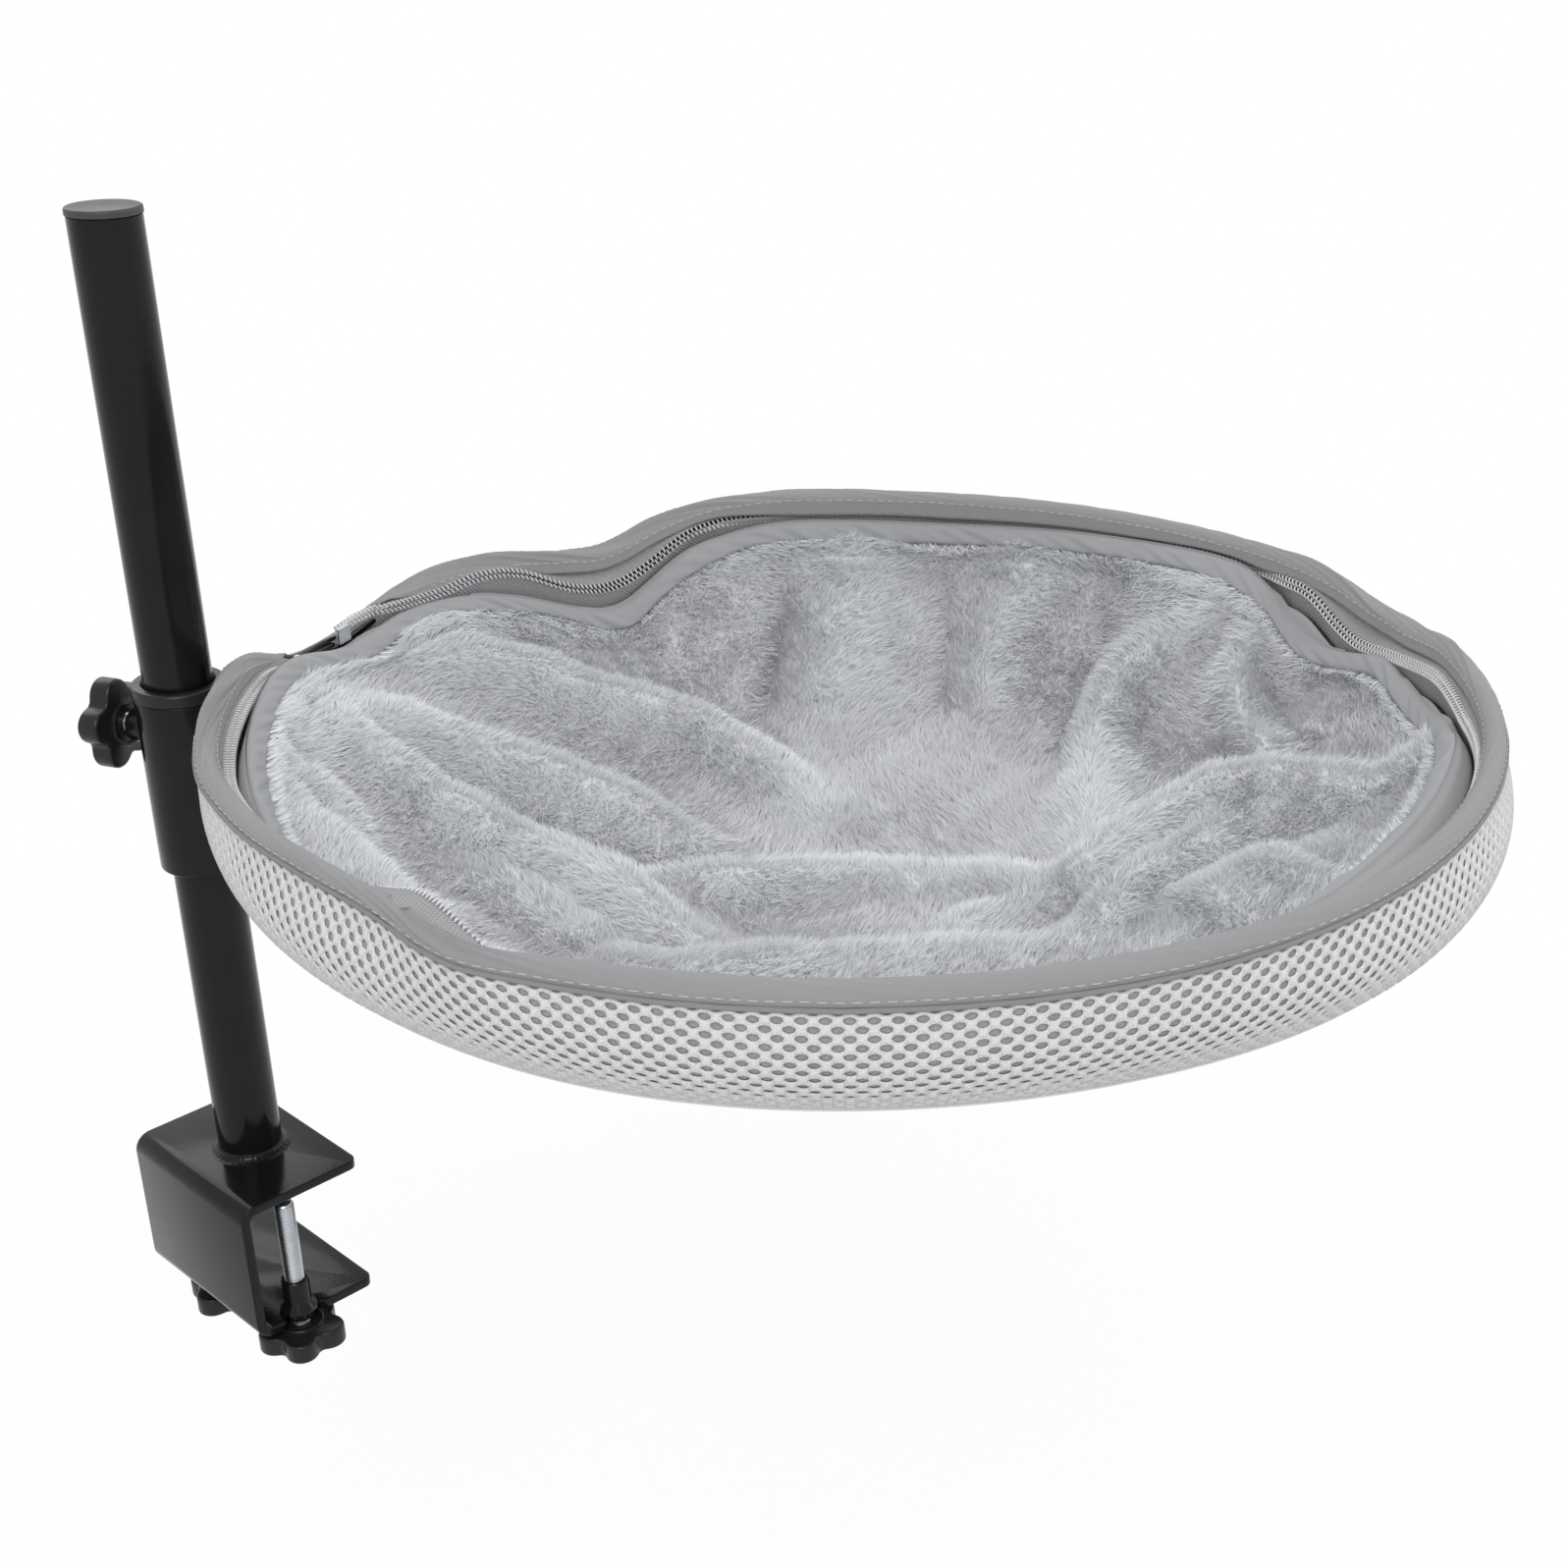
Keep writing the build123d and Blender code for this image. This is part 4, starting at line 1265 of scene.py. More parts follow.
def meshSeam(values):
    # the overlocked seam where the side strip meets the bottom panel
    turn = turnsOf(values["around"])
    radius, height = shellPoint(bowl["bendEnd"], -values["proud"], turn[:, None])
    bows = turnsOf(values["sides"])
    bead = values["thick"] + values["lump"] * np.sin(turn * values["lumps"])[:, None]
    return loftRing("meshSeam", basketPoints(radius + bead * np.cos(bows)[None, :], turn[:, None],
                                             height + bead * np.sin(bows)[None, :]))


shellPieces = [meshStrip(airMesh), meshFloor("meshFloorA", airMesh, 1), meshFloor("meshFloorB", airMesh, -1),
               meshSeam(seamShape)]
for piece in shellPieces:
    dress(piece, meshFace, "mesh_fabric", "basket", "mesh_shell")
shellCloth = dress(meshBacking(airMesh), meshBack, "mesh_fabric", "basket", "mesh_shell")


print("rim and zip")
# heights and radii along the rim, in millimetres at angles from the heading, read off the photo
zipHeights = [(165, -8.6), (160, -5.7), (154, -7.7), (148, -8), (145, -5), (140, -6), (137, -10), (134, -17),
              (130, -20.8), (127, -21.2), (124, -18), (120, -11), (118, -6), (113, -3), (95, -3.1), (60, -3.1),
              (44, -3.1), (39, -2.3), (35, -9.8), (30, -14.8), (20, -8.8), (13, -4.2), (4, -6.8), (-9, -4),
              (-30, -6.5), (-90, -7), (-108, -6), (-113, -0.5), (-117, 1.8), (-121, 1), (-127, -5), (-140, -6),
              (-158, -5), (-171, -3.2), (-178, -3.8), (178, -4.7), (175, -8), (168, -8.8)]
coverLow = [(113, 0.6), (109, -0.4), (103, -2.2), (92, -2.4), (85, -3), (79, -2.3), (71, -1.6), (64, -1.4),
            (59, -0.6), (54, 0.4), (50, 0.4), (45, -2.2)]
chainTilt = [(162, 0), (172, 25), (182, 50), (192, 60), (215, 60), (228, 45), (238, 15), (248, 0), (352, 0), (2, 25),
             (15, 38), (33, 35), (42, 10), (48, 0)]  # degrees that the chain's face turns up from the wall
chainIn = [(-107, 0), (-112, 5), (-117, 7.5), (-122, 6), (-129, 0), (0, 0), (120, 0)]  # where the chain hangs loose
tuckedIn = [(118, 0), (112, 1), (47, 1), (42, 0), (0, 0), (180, 0)]  # where the cover hides the chain
rollTop = [(178, -3), (175, -3.5), (171, -6.5), (166, -12), (161, -12.5), (156, -9.5), (151, -9.5), (147, -10.5),
           (143, -13.5), (138, -19), (134, -25), (129, -30.5), (126, -29.5), (123, -23.5), (120, -17),
           (117, -11.1), (114, -9), (112, -8), (109, -5.8), (106, -4.8), (103, -4.4), (91, -5.3), (85, -5.3),
           (79, -4.7), (71, -3.4), (64, -2.6), (59, -1.8), (54, -1), (49, -1.4), (45, -5), (43, -9), (41, -15),
           (39, -20), (37, -22.5), (33, -20.5), (28, -15.4), (24, -11), (19, -15), (13, -17.5), (7, -12), (3, -9),
           (-3, -2), (-8, 0), (-14, -2), (-22, -4), (-32, -6), (-45, -8), (-60, -10), (-100, -12), (-125, -12),
           (-138, -11.5), (-147, -9.5), (-156, -6), (-163, -4.5), (-170, -3.5), (-176, -3)]
rollLow = [(178, -10), (175, -10.5), (171, -13.5), (166, -18.5), (161, -19.5), (156, -16), (151, -15.5), (148, -16.3),
           (144, -19), (139, -23.5), (134, -30), (130, -36.5), (127, -38.5), (125, -37.5), (123, -31), (120, -25.5),
           (118, -22), (115, -18.5), (112, -15), (110, -13), (106, -11.5), (103, -12), (91, -13), (84, -12.4),
           (75, -10.8), (63, -9), (55, -8), (50, -8.5), (45, -12), (42, -17), (39, -25), (37, -28.5), (32, -26),
           (27, -21.5), (24, -18), (21, -19.5), (15, -24), (7, -19.5), (3, -16), (-3, -9.5), (-8, -8), (-14, -9),
           (-22, -11), (-32, -13), (-45, -15), (-60, -17), (-100, -19), (-125, -19.5), (-138, -18.5),
           (-147, -16.5), (-156, -14), (-163, -12), (-170, -10.5), (-176, -9)]
rollReach = [(178, 209), (171, 209), (161, 207), (151, 208.5), (147, 207), (138, 204), (128, 196), (124, 198),
             (114, 208), (109, 211), (96, 212), (57, 211), (45, 210), (39, 209), (30, 210), (15, 210), (7, 209),
             (0, 206.5), (-8, 205), (-20, 202), (-30, 200), (-45, 201), (-60, 206), (-100, 207), (-125, 204),
             (-138, 202.5), (-147, 201), (-156, 201.5), (-163, 202.5), (-170, 204), (-176, 206)]


def zipCentre(turn):
    return waveOf(zipHeights, turn, 1.6)


def tuckOf(turn):
    return waveOf(tuckedIn, turn, 1.2)


rimCloth = {
    "wall": 0.65,
    "startAt": -17,
    "leg": -3.4,
    "overChain": 2.7,
    "around": 900,
    "smallFolds": 0.13,
    "bigFolds": 2.6,
    "foldMost": 1.8,
    "fineWaves": (61, 83, 97, 131),
    "broadWaves": (17, 29, 43, 57, 71),
    "tight": 0.07,
    "loose": [(136, 26, 1.0), (188, 13, 0.8), (30, 18, 0.5), (244, 7, 0.8)],  # angle, half width and share of folds
    "slant": 0.16,  # radians round the rim that a fold moves from the cover's outside to its inside
    "gapAt": 168,
    "gapWide": 4.5,
    "gapOpens": 70,  # degrees round the rod where the cover ends at the gap
    "hem": 0.3,
    "sections": 36,
    "flat": (0.023, 1.40),
}


def legEnd(turn):
    # how low the cover's inner leg ends: a little above the chain
    tuck = tuckOf(turn)
    free = np.maximum(ringRise(turn) + rimCloth["leg"], zipCentre(turn) + rimCloth["overChain"])
    return free * (1 - tuck) + waveOf(coverLow, turn, 1.2) * tuck


def foldWaves(seed, waves):
    # uneven waves round the rim with fixed phases, so that they can be looked up at any angle
    rng = np.random.default_rng(seed)
    return [(count, rng.uniform(0.4, 1) / math.sqrt(len(waves)), rng.uniform(0, math.tau)) for count in waves]


def foldsAt(waves, turn):
    return sum(size * np.sin(turn * count + phase) for count, size, phase in waves)


def coverRadius(turn, bow):
    # the cover's outside with its folds, at angles round the rod's own section
    values = rimCloth
    degrees = np.degrees(turn) % 360
    loose = values["tight"]
    for spot, wide, share in values["loose"]:
        loose = loose + share * np.exp(-((degrees - spot) / wide) ** 2)
    fine = foldsAt(foldWaves(11, values["fineWaves"]), turn + 0.4 * values["slant"] * bow) * values["smallFolds"]
    broad = foldsAt(foldWaves(12, values["broadWaves"]), turn + values["slant"] * bow) * values["bigFolds"] * loose
    broad = np.clip(np.where(broad > 0, broad, 0.35 * broad), -0.3, values["foldMost"])
    lift = fine * np.sin(bow) ** 2 + broad * np.clip(np.sin(bow + 0.25) * 1.3, 0, 1)
    return tubeOf(turn) + np.maximum(lift, -0.3)


def makeRimBand(values):
    turn = turnsOf(values["around"])
    degrees = np.degrees(turn)
    gap = np.exp(-((degrees - values["gapAt"]) / values["gapWide"]) ** 6)
    pull, rise, tube = ringPull(turn), ringRise(turn), tubeOf(turn)
    low = legEnd(turn) - rise
    top = 180 - np.degrees(np.arcsin(np.clip(low / tube, 0, 0.95)))
    top = top * (1 - gap) + values["gapOpens"] * gap
    outer, inner = [], []
    for share in np.linspace(0, 1, values["sections"]):
        bow = np.radians(values["startAt"] + (top - values["startAt"]) * share)
        rho = coverRadius(turn, bow)
        outer.append((rho * np.cos(bow), rho * np.sin(bow)))
        rho = rho - values["wall"]
        inner.append((rho * np.cos(bow), rho * np.sin(bow)))
    lastOut, lastHigh = outer[-1]
    hem = values["hem"]
    drop = np.minimum(low - lastHigh, -hem) * (1 - gap) - hem * gap
    for share in (0.25, 0.5, 0.75, 1.0):
        out = lastOut - hem * share * (1 - gap)
        outer.append((out, lastHigh + drop * share))
        inner.append((out + values["wall"], lastHigh + drop * share))
    line = [(bowl["hoop"] + pull + x, rise + z) for x, z in outer + inner[::-1]]
    return loftRing("rimBand", sectionOf(turn, line))


def tubeRing(name, radius, height, thick, around, across):
    # a round cord that follows the rim at given radii and heights
    turn, bows = turnsOf(around), turnsOf(across)
    r = radius(turn)[:, None] + thick * np.cos(bows)[None, :]
    z = height(turn)[:, None] + thick * np.sin(bows)[None, :]
    return loftRing(name, basketPoints(r, turn[:, None], z))


def makeHoopRod():
    # the steel ring inside the cover, seen where the cover is open
    piece = tubeRing("hoopRod", lambda turn: bowl["hoop"] + ringPull(turn), ringRise, ring["rod"], 540, 16)
    return dress(piece, blackCoat, "black_steel", "basket", "hoop")


makeHoopRod()
rimBand = makeRimBand(rimCloth)
dress(rimBand, bandCloth, "grey_fabric", "basket", "rim_band")

pipingShape = {"thick": 0.85, "off": 0.25, "height": -0.38, "around": 720, "sides": 10}


# the cord along the rim's lower edge, its darker cloth a painted shadow line
def makePiping(values):
    rng = np.random.default_rng(5)

    def radius(turn):
        return bowl["hoop"] + ringPull(turn) + tubeOf(turn) + values["off"] + ripples(turn, rng, (37, 71), 0.08)

    def height(turn):
        return values["height"] * tubeOf(turn) + ringRise(turn) + ripples(turn, rng, (29, 53, 88), 0.12)

    piece = tubeRing("rimPiping", radius, height, values["thick"], values["around"], values["sides"])
    return dress(piece, pipingShadowCloth, "grey_fabric", "basket", "rim_piping")


makePiping(pipingShape)


def stitchRow(name, places, along, up, size):
    # copies one small stitch to each place, lying along the seam
    length, wide, thick = size
    ring = [(math.cos(t) * wide / 2, math.sin(t) * thick / 2) for t in turnsOf(6)]
    stations = [(-0.5, 0.0, -0.9), (-0.36, 0.8, 0.0), (0.0, 1.0, 0.25), (0.36, 0.8, 0.0), (0.5, 0.0, -0.9)]
    body = []
    for share, swell, lift in stations:
        grow = max(swell, 0.25)
        body += [(share * length, y * grow, z * grow + lift * thick) for y, z in ring]
    body = np.array(body)
    faces = [[s * 6 + i, s * 6 + (i + 1) % 6, (s + 1) * 6 + (i + 1) % 6, (s + 1) * 6 + i]
             for s in range(4) for i in range(6)]
    faces += [[0, 1, 2, 3, 4, 5][::-1], [24, 25, 26, 27, 28, 29]]
    side = np.cross(up, along)
    world = places[:, None, :]
    for column, axis in enumerate((along, side, up)):
        world = world + body[None, :, column:column + 1] * axis[:, None, :] * mm
    return copiesOf(name, world, faces)


def copiesOf(name, points, faces):
    # one mesh of many copies, given as points of shape (copies, corners, 3) and the faces of one
    corners = points.shape[1]
    allFaces = [[index * corners + v for v in face] for index in range(len(points)) for face in faces]
    piece = meshPiece(name, points.reshape(-1, 3), allFaces)
    facesOutward(piece)
    return intoBasket(piece)


stitchShape = {"pitch": 4.6, "length": 3.3, "wide": 0.55, "thick": 0.4, "proud": 0.12, "clear": 7}


def seamLine(turn, radius, height, tilt):
    # places, directions along and directions up for stitches at angles round the rim
    places = basketPoints(radius, turn, height)
    along = np.roll(places, -1, axis=0) - np.roll(places, 1, axis=0)
    along /= np.linalg.norm(along, axis=1)[:, None]
    up = np.stack([np.cos(tilt) * np.cos(turn), np.cos(tilt) * np.sin(turn), np.sin(tilt) + 0 * turn], -1)
    up -= (up * along).sum(1)[:, None] * along
    up /= np.linalg.norm(up, axis=1)[:, None]
    return places, along, up


def makeRimStitches(values):
    count = int(math.tau * bowl["hoop"] / values["pitch"])
    turn = turnsOf(count)
    rng = np.random.default_rng(8)
    size = (values["length"], values["wide"], values["thick"])
    awayFromGap = np.abs(np.degrees(turn) - rimCloth["gapAt"]) > values["clear"]
    showsInside = awayFromGap & (legEnd(turn) - ringRise(turn) < 0.5)
    for name, degrees, keep in (("rimStitches", 8, awayFromGap), ("rimInnerStitches", 166, showsInside)):
        tilt = math.radians(degrees)
        reach = coverRadius(turn, tilt) + values["proud"]
        radius = bowl["hoop"] + ringPull(turn) + reach * math.cos(tilt) + rng.uniform(-0.05, 0.05, count)
        height = ringRise(turn) + reach * math.sin(tilt) + rng.uniform(-0.15, 0.15, count)
        places, along, up = seamLine(turn, radius, height, np.full(count, tilt))
        piece = stitchRow(name, places[keep], along[keep], up[keep], size)
        dress(piece, threadMaterial, "grey_fabric", "basket")


makeRimStitches(stitchShape)

zipShape = {
    "radius": 215.5,
    "inside": 0.5,
    "tuckedOut": 3.6,
    "hangsFrom": 8,  # how far below the rod the chain starts to lean in
    "hangLean": 0.12,
    "tapeThick": 0.25,
    "tapeRows": (15, 8),  # points across the upper and the lower tape
    "tapeDip": 3.2,  # how much lower the lower tape starts under the cover's edge
    "coilGap": 2.3,
    "coil": 1.0,
    "coilLean": 0.25,  # share of the pitch
    "coilSides": (7, 5),  # points round a loop, and round its wire
    "coilIn": 0.2,
    "wire": 0.4,
    "overlap": 0.2,
    "pitch": 2.1,
    "from": 173.0,
    "to": 524.0,
    "around": 900,
    "tapeHigh": 9.9,
    "lowerOut": 2.6,
    "tapeFlat": (0.0105, 1.33),  # each tape's width and length in metres
}


def tiltOf(turn):
    return np.radians(waveOf(chainTilt, turn, 2))


def halfChain():
    # from the chain's middle to where a tape starts
    return zipShape["coilGap"] / 2 + zipShape["coil"] - zipShape["overlap"]


def zipRadius(turn):
    # the chain lies against the cover's inner side, leans in a little where it hangs low, and slips behind the cover
    inside = tubeOf(turn) + zipShape["inside"]
    above = np.clip(zipCentre(turn) - ringRise(turn), 0, 0.85 * inside)
    lean = zipShape["hangLean"] * np.maximum(0, ringRise(turn) - zipCentre(turn) - zipShape["hangsFrom"])
    wall = bowl["hoop"] + ringPull(turn) - np.sqrt(inside ** 2 - above ** 2)
    tilted = (halfChain() + 0.2) * np.sin(tiltOf(turn))
    return wall - lean + zipShape["tuckedOut"] * tuckOf(turn) - waveOf(chainIn, turn, 1.5) - tilted


def zipAngles(values):
    share = np.arange(values["around"]) / (values["around"] - 1)
    return np.radians(values["from"] + (values["to"] - values["from"]) * share)


def upperTape(values):
    # from the chain up behind the cover's leg and on round the steel ring
    turn = zipAngles(values)
    start = zipCentre(turn) + halfChain() * np.cos(tiltOf(turn))
    out = zipRadius(turn) + halfChain() * np.sin(tiltOf(turn))
    rise, pull = ringRise(turn), ringPull(turn)
    level = np.maximum(0, rise - start)
    begin = np.arcsin(np.clip((start - rise) / tubeOf(turn), 0, 0.95))
    front, back = [], []
    for share in np.linspace(0, 1, values["tapeRows"][0]):
        gone = share * values["tapeHigh"]
        bend = begin + np.maximum(0, gone - level) / ring["rod"]
        height = np.minimum(start + gone, rise)
        hug = np.clip(gone / 3, 0, 1)
        for line, thick in ((front, values["tapeThick"]), (back, 0.0)):
            reach = ring["rod"] + 0.07 + thick
            r = bowl["hoop"] + pull - reach * np.cos(bend)
            z = np.where(bend > 0, rise, height) + reach * np.sin(bend)
            line.append((r + (out - thick - r) * (1 - hug), z))
    return openLoft("zipTapeUpper", sectionOf(turn, front + back[::-1]))


def lowerTape(values):
    # from the chain down behind the binding; where the cover hides the chain, the tape comes forward under its edge
    turn = zipAngles(values)
    tuck = tuckOf(turn)
    start = zipCentre(turn) - halfChain() * np.cos(tiltOf(turn)) + values["tapeDip"] * tuck
    out = zipRadius(turn) - halfChain() * np.sin(tiltOf(turn))
    forward = (out - (bowl["hoop"] + ringPull(turn) - tubeOf(turn) + rimCloth["wall"] + 0.3)) * tuck
    front, back = [], []
    for share in np.linspace(0, 1, values["tapeRows"][1]):
        r = out - forward + values["lowerOut"] * share
        z = start - values["tapeHigh"] * share
        front.append((r, z))
        back.append((r + values["tapeThick"], z))
    return openLoft("zipTapeLower", sectionOf(turn, front + back[::-1]))


def openLoft(name, section):
    # like loftRing, but with two capped ends
    around, across = section.shape[:2]
    points = section.reshape(-1, 3)
    faces = []
    for i in range(around - 1):
        faces += [[i * across + k, (i + 1) * across + k, (i + 1) * across + (k + 1) % across,
                   i * across + (k + 1) % across] for k in range(across)]
    faces.append([k for k in range(across)])
    faces.append([(around - 1) * across + k for k in range(across)][::-1])
    piece = meshPiece(name, points, faces)
    layer = piece.data.uv_layers.new(name="UVMap")
    acrossAt = widthsOf(section)
    aroundAt = np.concatenate([[0], np.cumsum(np.linalg.norm(np.diff(section[:, 0], axis=0), axis=1))]) / mm
    loops = np.zeros(len(piece.data.loops), int)
    piece.data.loops.foreach_get("vertex_index", loops)
    flat = np.stack([aroundAt[loops // across], acrossAt[loops % across]], -1)
    layer.data.foreach_set("uv", flat.astype(np.float32).reshape(-1))
    facesOutward(piece)
    return intoBasket(piece)


def makeZip(values):
    for tape in (upperTape(values), lowerTape(values)):
        dress(tape, tapeCloth, "white_tape", "basket", "zip_tapes")
    for name, side in (("zipCoilUpper", 1), ("zipCoilLower", -1)):
        piece = coilRow(name, side, values)
        dress(piece, coilNylon, "zip_nylon", "basket", "zip_coils")


def coilRow(name, side, values):
    # one row of the coil: a loop of nylon for each turn, leaning towards the other row
    arc = math.radians(values["to"] - values["from"])
    count = int(arc * values["radius"] / values["pitch"])
    turn = np.radians(values["from"]) + arc * (np.arange(count) + 0.5) / count
    around, sides = values["coilSides"]
    wire = values["wire"]
    body, faces = [], []
    for b in turnsOf(around):
        cx, cz = values["coil"] * 1.05 * math.cos(b), values["coil"] * math.sin(b)
        lean = values["coilLean"] * math.sin(b) * values["pitch"]
        for c in turnsOf(sides):
            body.append((lean + wire * math.sin(c), cx + wire * math.cos(c) * math.cos(b),
                         cz + wire * math.cos(c) * math.sin(b)))
    for i in range(around):
        j = (i + 1) % around
        faces += [[i * sides + k, j * sides + k, j * sides + (k + 1) % sides, i * sides + (k + 1) % sides]
                  for k in range(sides)]
    body = np.array(body)
    centre = zipCentre(turn) + side * values["coilGap"] / 2 * np.cos(tiltOf(turn))
    away = zipRadius(turn) + side * values["coilGap"] / 2 * np.sin(tiltOf(turn))
    angle = turn[:, None] + body[None, :, 0] / values["radius"]
    r = away[:, None] - values["coilIn"] - body[None, :, 1]
    z = centre[:, None] + body[None, :, 2]
    return copiesOf(name, basketPoints(r, angle, z), faces)


makeZip(zipShape)
for name in ("zip_stops", "zip_slider", "zip_pull"):
    paint(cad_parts[name], zipChrome)

bindingShape = {
    "around": 1080,
    "proud": 2.1,
    "behind": 0.9,
    "flap": 0.35,
    "off": 1.6,
    "lean": 5.0,
    "tapeHeld": 9.2,
    "tapeFree": 5.5,
    "flapHigh": 0.9,
    "puckers": 0.16,
    "creases": 0.3,
    "sunk": 0.5,
    "seams": (148, 63, 245),  # angles of the joins in the binding
    "seamWide": 0.45,
    "facing": (0.93, 0.36),  # inward and upward shares of the roll's swelling
}


def makeBinding(values):
    # the liner's edge: a thin flap sewn to the zip's lower tape, and a padded roll below it
    turn = turnsOf(values["around"])
    degrees = np.degrees(turn)
    high, low = waveOf(rollTop, turn, 1.2), waveOf(rollLow, turn, 1.2)
    middle = zipCentre(turn)
    flapHigh = high + values["flapHigh"]
    flapTop = np.maximum(np.minimum(flapHigh, middle - values["tapeFree"]), middle - values["tapeHeld"])
    rTape = bowl["hoop"] + ringPull(turn) - tubeOf(turn) - values["off"]
    tuck = tuckOf(turn)
    rTape = np.minimum(rTape, zipRadius(turn) - halfChain() * np.sin(tiltOf(turn)) - 0.8) * (1 - tuck) + rTape * tuck
    rLow = np.minimum(waveOf(rollReach, turn, 1.8), rTape - 1.5)
    flapTop = flapTop * (1 - tuck) + flapHigh * tuck
    rHigh = np.minimum(rTape, rLow + values["lean"]) * (1 - tuck) + rTape * tuck
    puckers, creases = foldWaves(21, (47, 73, 101, 139)), foldWaves(22, (31, 59, 83, 113))
    seams = sum(np.exp(-((degrees - spot) / values["seamWide"]) ** 2) for spot in values["seams"])
    inward, upward = values["facing"]
    front, back = [], []
    for share in (0.0, 0.33, 0.67):
        z = flapTop + (high - flapTop) * share
        r = rTape + (rHigh - rTape) * share
        front.append((r - values["flap"], z))
        back.append((r + values["flap"], z))
    for share in np.linspace(0, 1, 15):
        swell = max(0.0, 1 - abs(2 * share - 1) ** 2.6) ** 0.55
        soft = 1 + values["puckers"] * foldsAt(puckers, turn + 0.03 * share)
        soft = soft + values["creases"] * foldsAt(creases, turn + 0.09 * share) - values["sunk"] * seams
        out = values["flap"] + (values["proud"] * soft - values["flap"]) * swell
        r = rHigh + (rLow - rHigh) * share
        z = high + (low - high) * share
        front.append((r - inward * out, z + upward * out))
        behind = values["behind"] * swell
        back.append((r + values["flap"] + inward * behind, z - upward * behind))
    return loftRing("linerBinding", sectionOf(turn, front + back[::-1]))


linerBinding = makeBinding(bindingShape)
dress(linerBinding, bindCloth, "white_tape", "basket", "liner_binding")


print("plush liner")
# each fold: its crest as (radius, angle) pairs in the bowl, its height and its half width in millimetres
linerFolds = [
    ([(210, 156), (198, 150), (178, 143), (151, 134), (134, 127), (113, 122), (93, 114), (70, 106)], 13, 11),
    ([(206, 174), (186, 168), (160, 164), (130, 160), (99, 157), (74, 155)], 14, 12),
    ([(206, 184), (198, 177), (174, 178), (155, 182), (129, 183), (98, 190), (82, 201), (70, 223)], 13, 11),
    ([(204, 192), (193, 190), (176, 196)], 8, 8),
    ([(198, 197), (178, 207), (167, 216), (152, 212)], 10, 10),
    ([(206, 98), (170, 99), (133, 100)], 9, 20),
    ([(206, 106), (178, 108), (141, 113)], -5, 7),
    ([(206, 77), (175, 77), (138, 74)], 7, 13),
    ([(206, 86), (179, 84), (140, 82)], -4, 6),
    ([(205, 65), (178, 63), (137, 57), (116, 51)], -5, 9),
    ([(206, 51), (191, 55), (168, 56), (147, 53), (123, 45), (100, 27), (91, 0)], 13, 12),
    ([(206, 44), (194, 42), (180, 36), (172, 28), (172, 21)], 10, 8),
    ([(203, 4), (189, 5), (162, 16), (146, 19), (126, 18), (108, 12), (91, -1)], 15, 12),
    ([(91, -1), (70, 7), (50, 18), (21, 61), (31, 150), (61, 179), (81, 191)], 10, 10),
    ([(91, -1), (71, -3), (51, -13), (48, -42)], 7, 9),
    ([(154, 11), (140, 11), (132, 4), (120, 1), (107, -7), (102, -17), (97, -27)], 12, 12),
    ([(170, -12), (140, -25)], 16, 34),
    ([(105, -35), (74, -44), (55, -70), (62, -104), (90, -121), (102, -130)], 9, 14),
    ([(190, 225), (150, 240), (110, 250)], 9, 18),
    ([(190, 262), (140, 268)], 7, 20),
    ([(195, 300), (140, 300)], 8, 20),
    ([(150, -168), (120, -160), (100, -140)], 5, 12),
]

linerShape = {
    "foldGrow": 1.2,
    "skin": 10.2,  # how far the plush's ground lies inside the bowl
    "joint": 150,  # radius at which the floor of the bowl turns up into the wall
    "jointShare": 0.68,
    "around": 540,
    "rings": 130,
    "middle": 0.012,  # share of the way at which the innermost ring lies
    "lumps": 0.8,
    "lumpWaves": (9, 14, 6),
    "edgeFade": 0.06,  # share of the way over which the folds end at the binding
    "underBinding": 1.2,
    "underZip": 5,
    "belly": (4, 12),  # how far the wall bulges out and down below the binding
    "low": 4.2,
    "lowRings": 16,
    "lowFrom": 24,
}


def floorHeight(radius, inward):
    return bowl["floorCentre"] - np.sqrt((bowl["floorRadius"] - inward) ** 2 - radius ** 2)


def distanceToLine(x, y, line):
    best = np.full(x.shape, 1e9)
    where = np.zeros(x.shape)
    lengths = [math.dist(a, b) for a, b in zip(line, line[1:])]
    total, run = sum(lengths), 0
    for (ax, ay), (bx, by), length in zip(line, line[1:], lengths):
        dx, dy = (bx - ax) / length, (by - ay) / length
        t = np.clip((x - ax) * dx + (y - ay) * dy, 0, length)
        d = np.hypot(x - ax - t * dx, y - ay - t * dy)
        closer = d < best
        best = np.where(closer, d, best)
        where = np.where(closer, (run + t) / total, where)
        run += length
    return best, where


def foldLift(x, y):
    # how far the plush is raised over the smooth bowl at points in the hoop's frame
    lift = np.zeros(x.shape)
    for crest, high, wide in linerFolds:
        line = [(r * math.cos(math.radians(a)), r * math.sin(math.radians(a))) for r, a in crest]
        off, along = distanceToLine(x, y, line)
        fade = np.clip(np.minimum(along, 1 - along) * 5, 0, 1)
        fade = 0.55 + 0.45 * fade * fade * (3 - 2 * fade)
        shape = linerShape["foldGrow"] * np.exp(-(off / wide) ** 2)
        if high > 0:
            raised = high * fade * shape
            lift = lift + raised - 0.45 * np.minimum(np.maximum(lift, 0), raised)
        else:
            lift = lift + high * fade * shape
    return lift


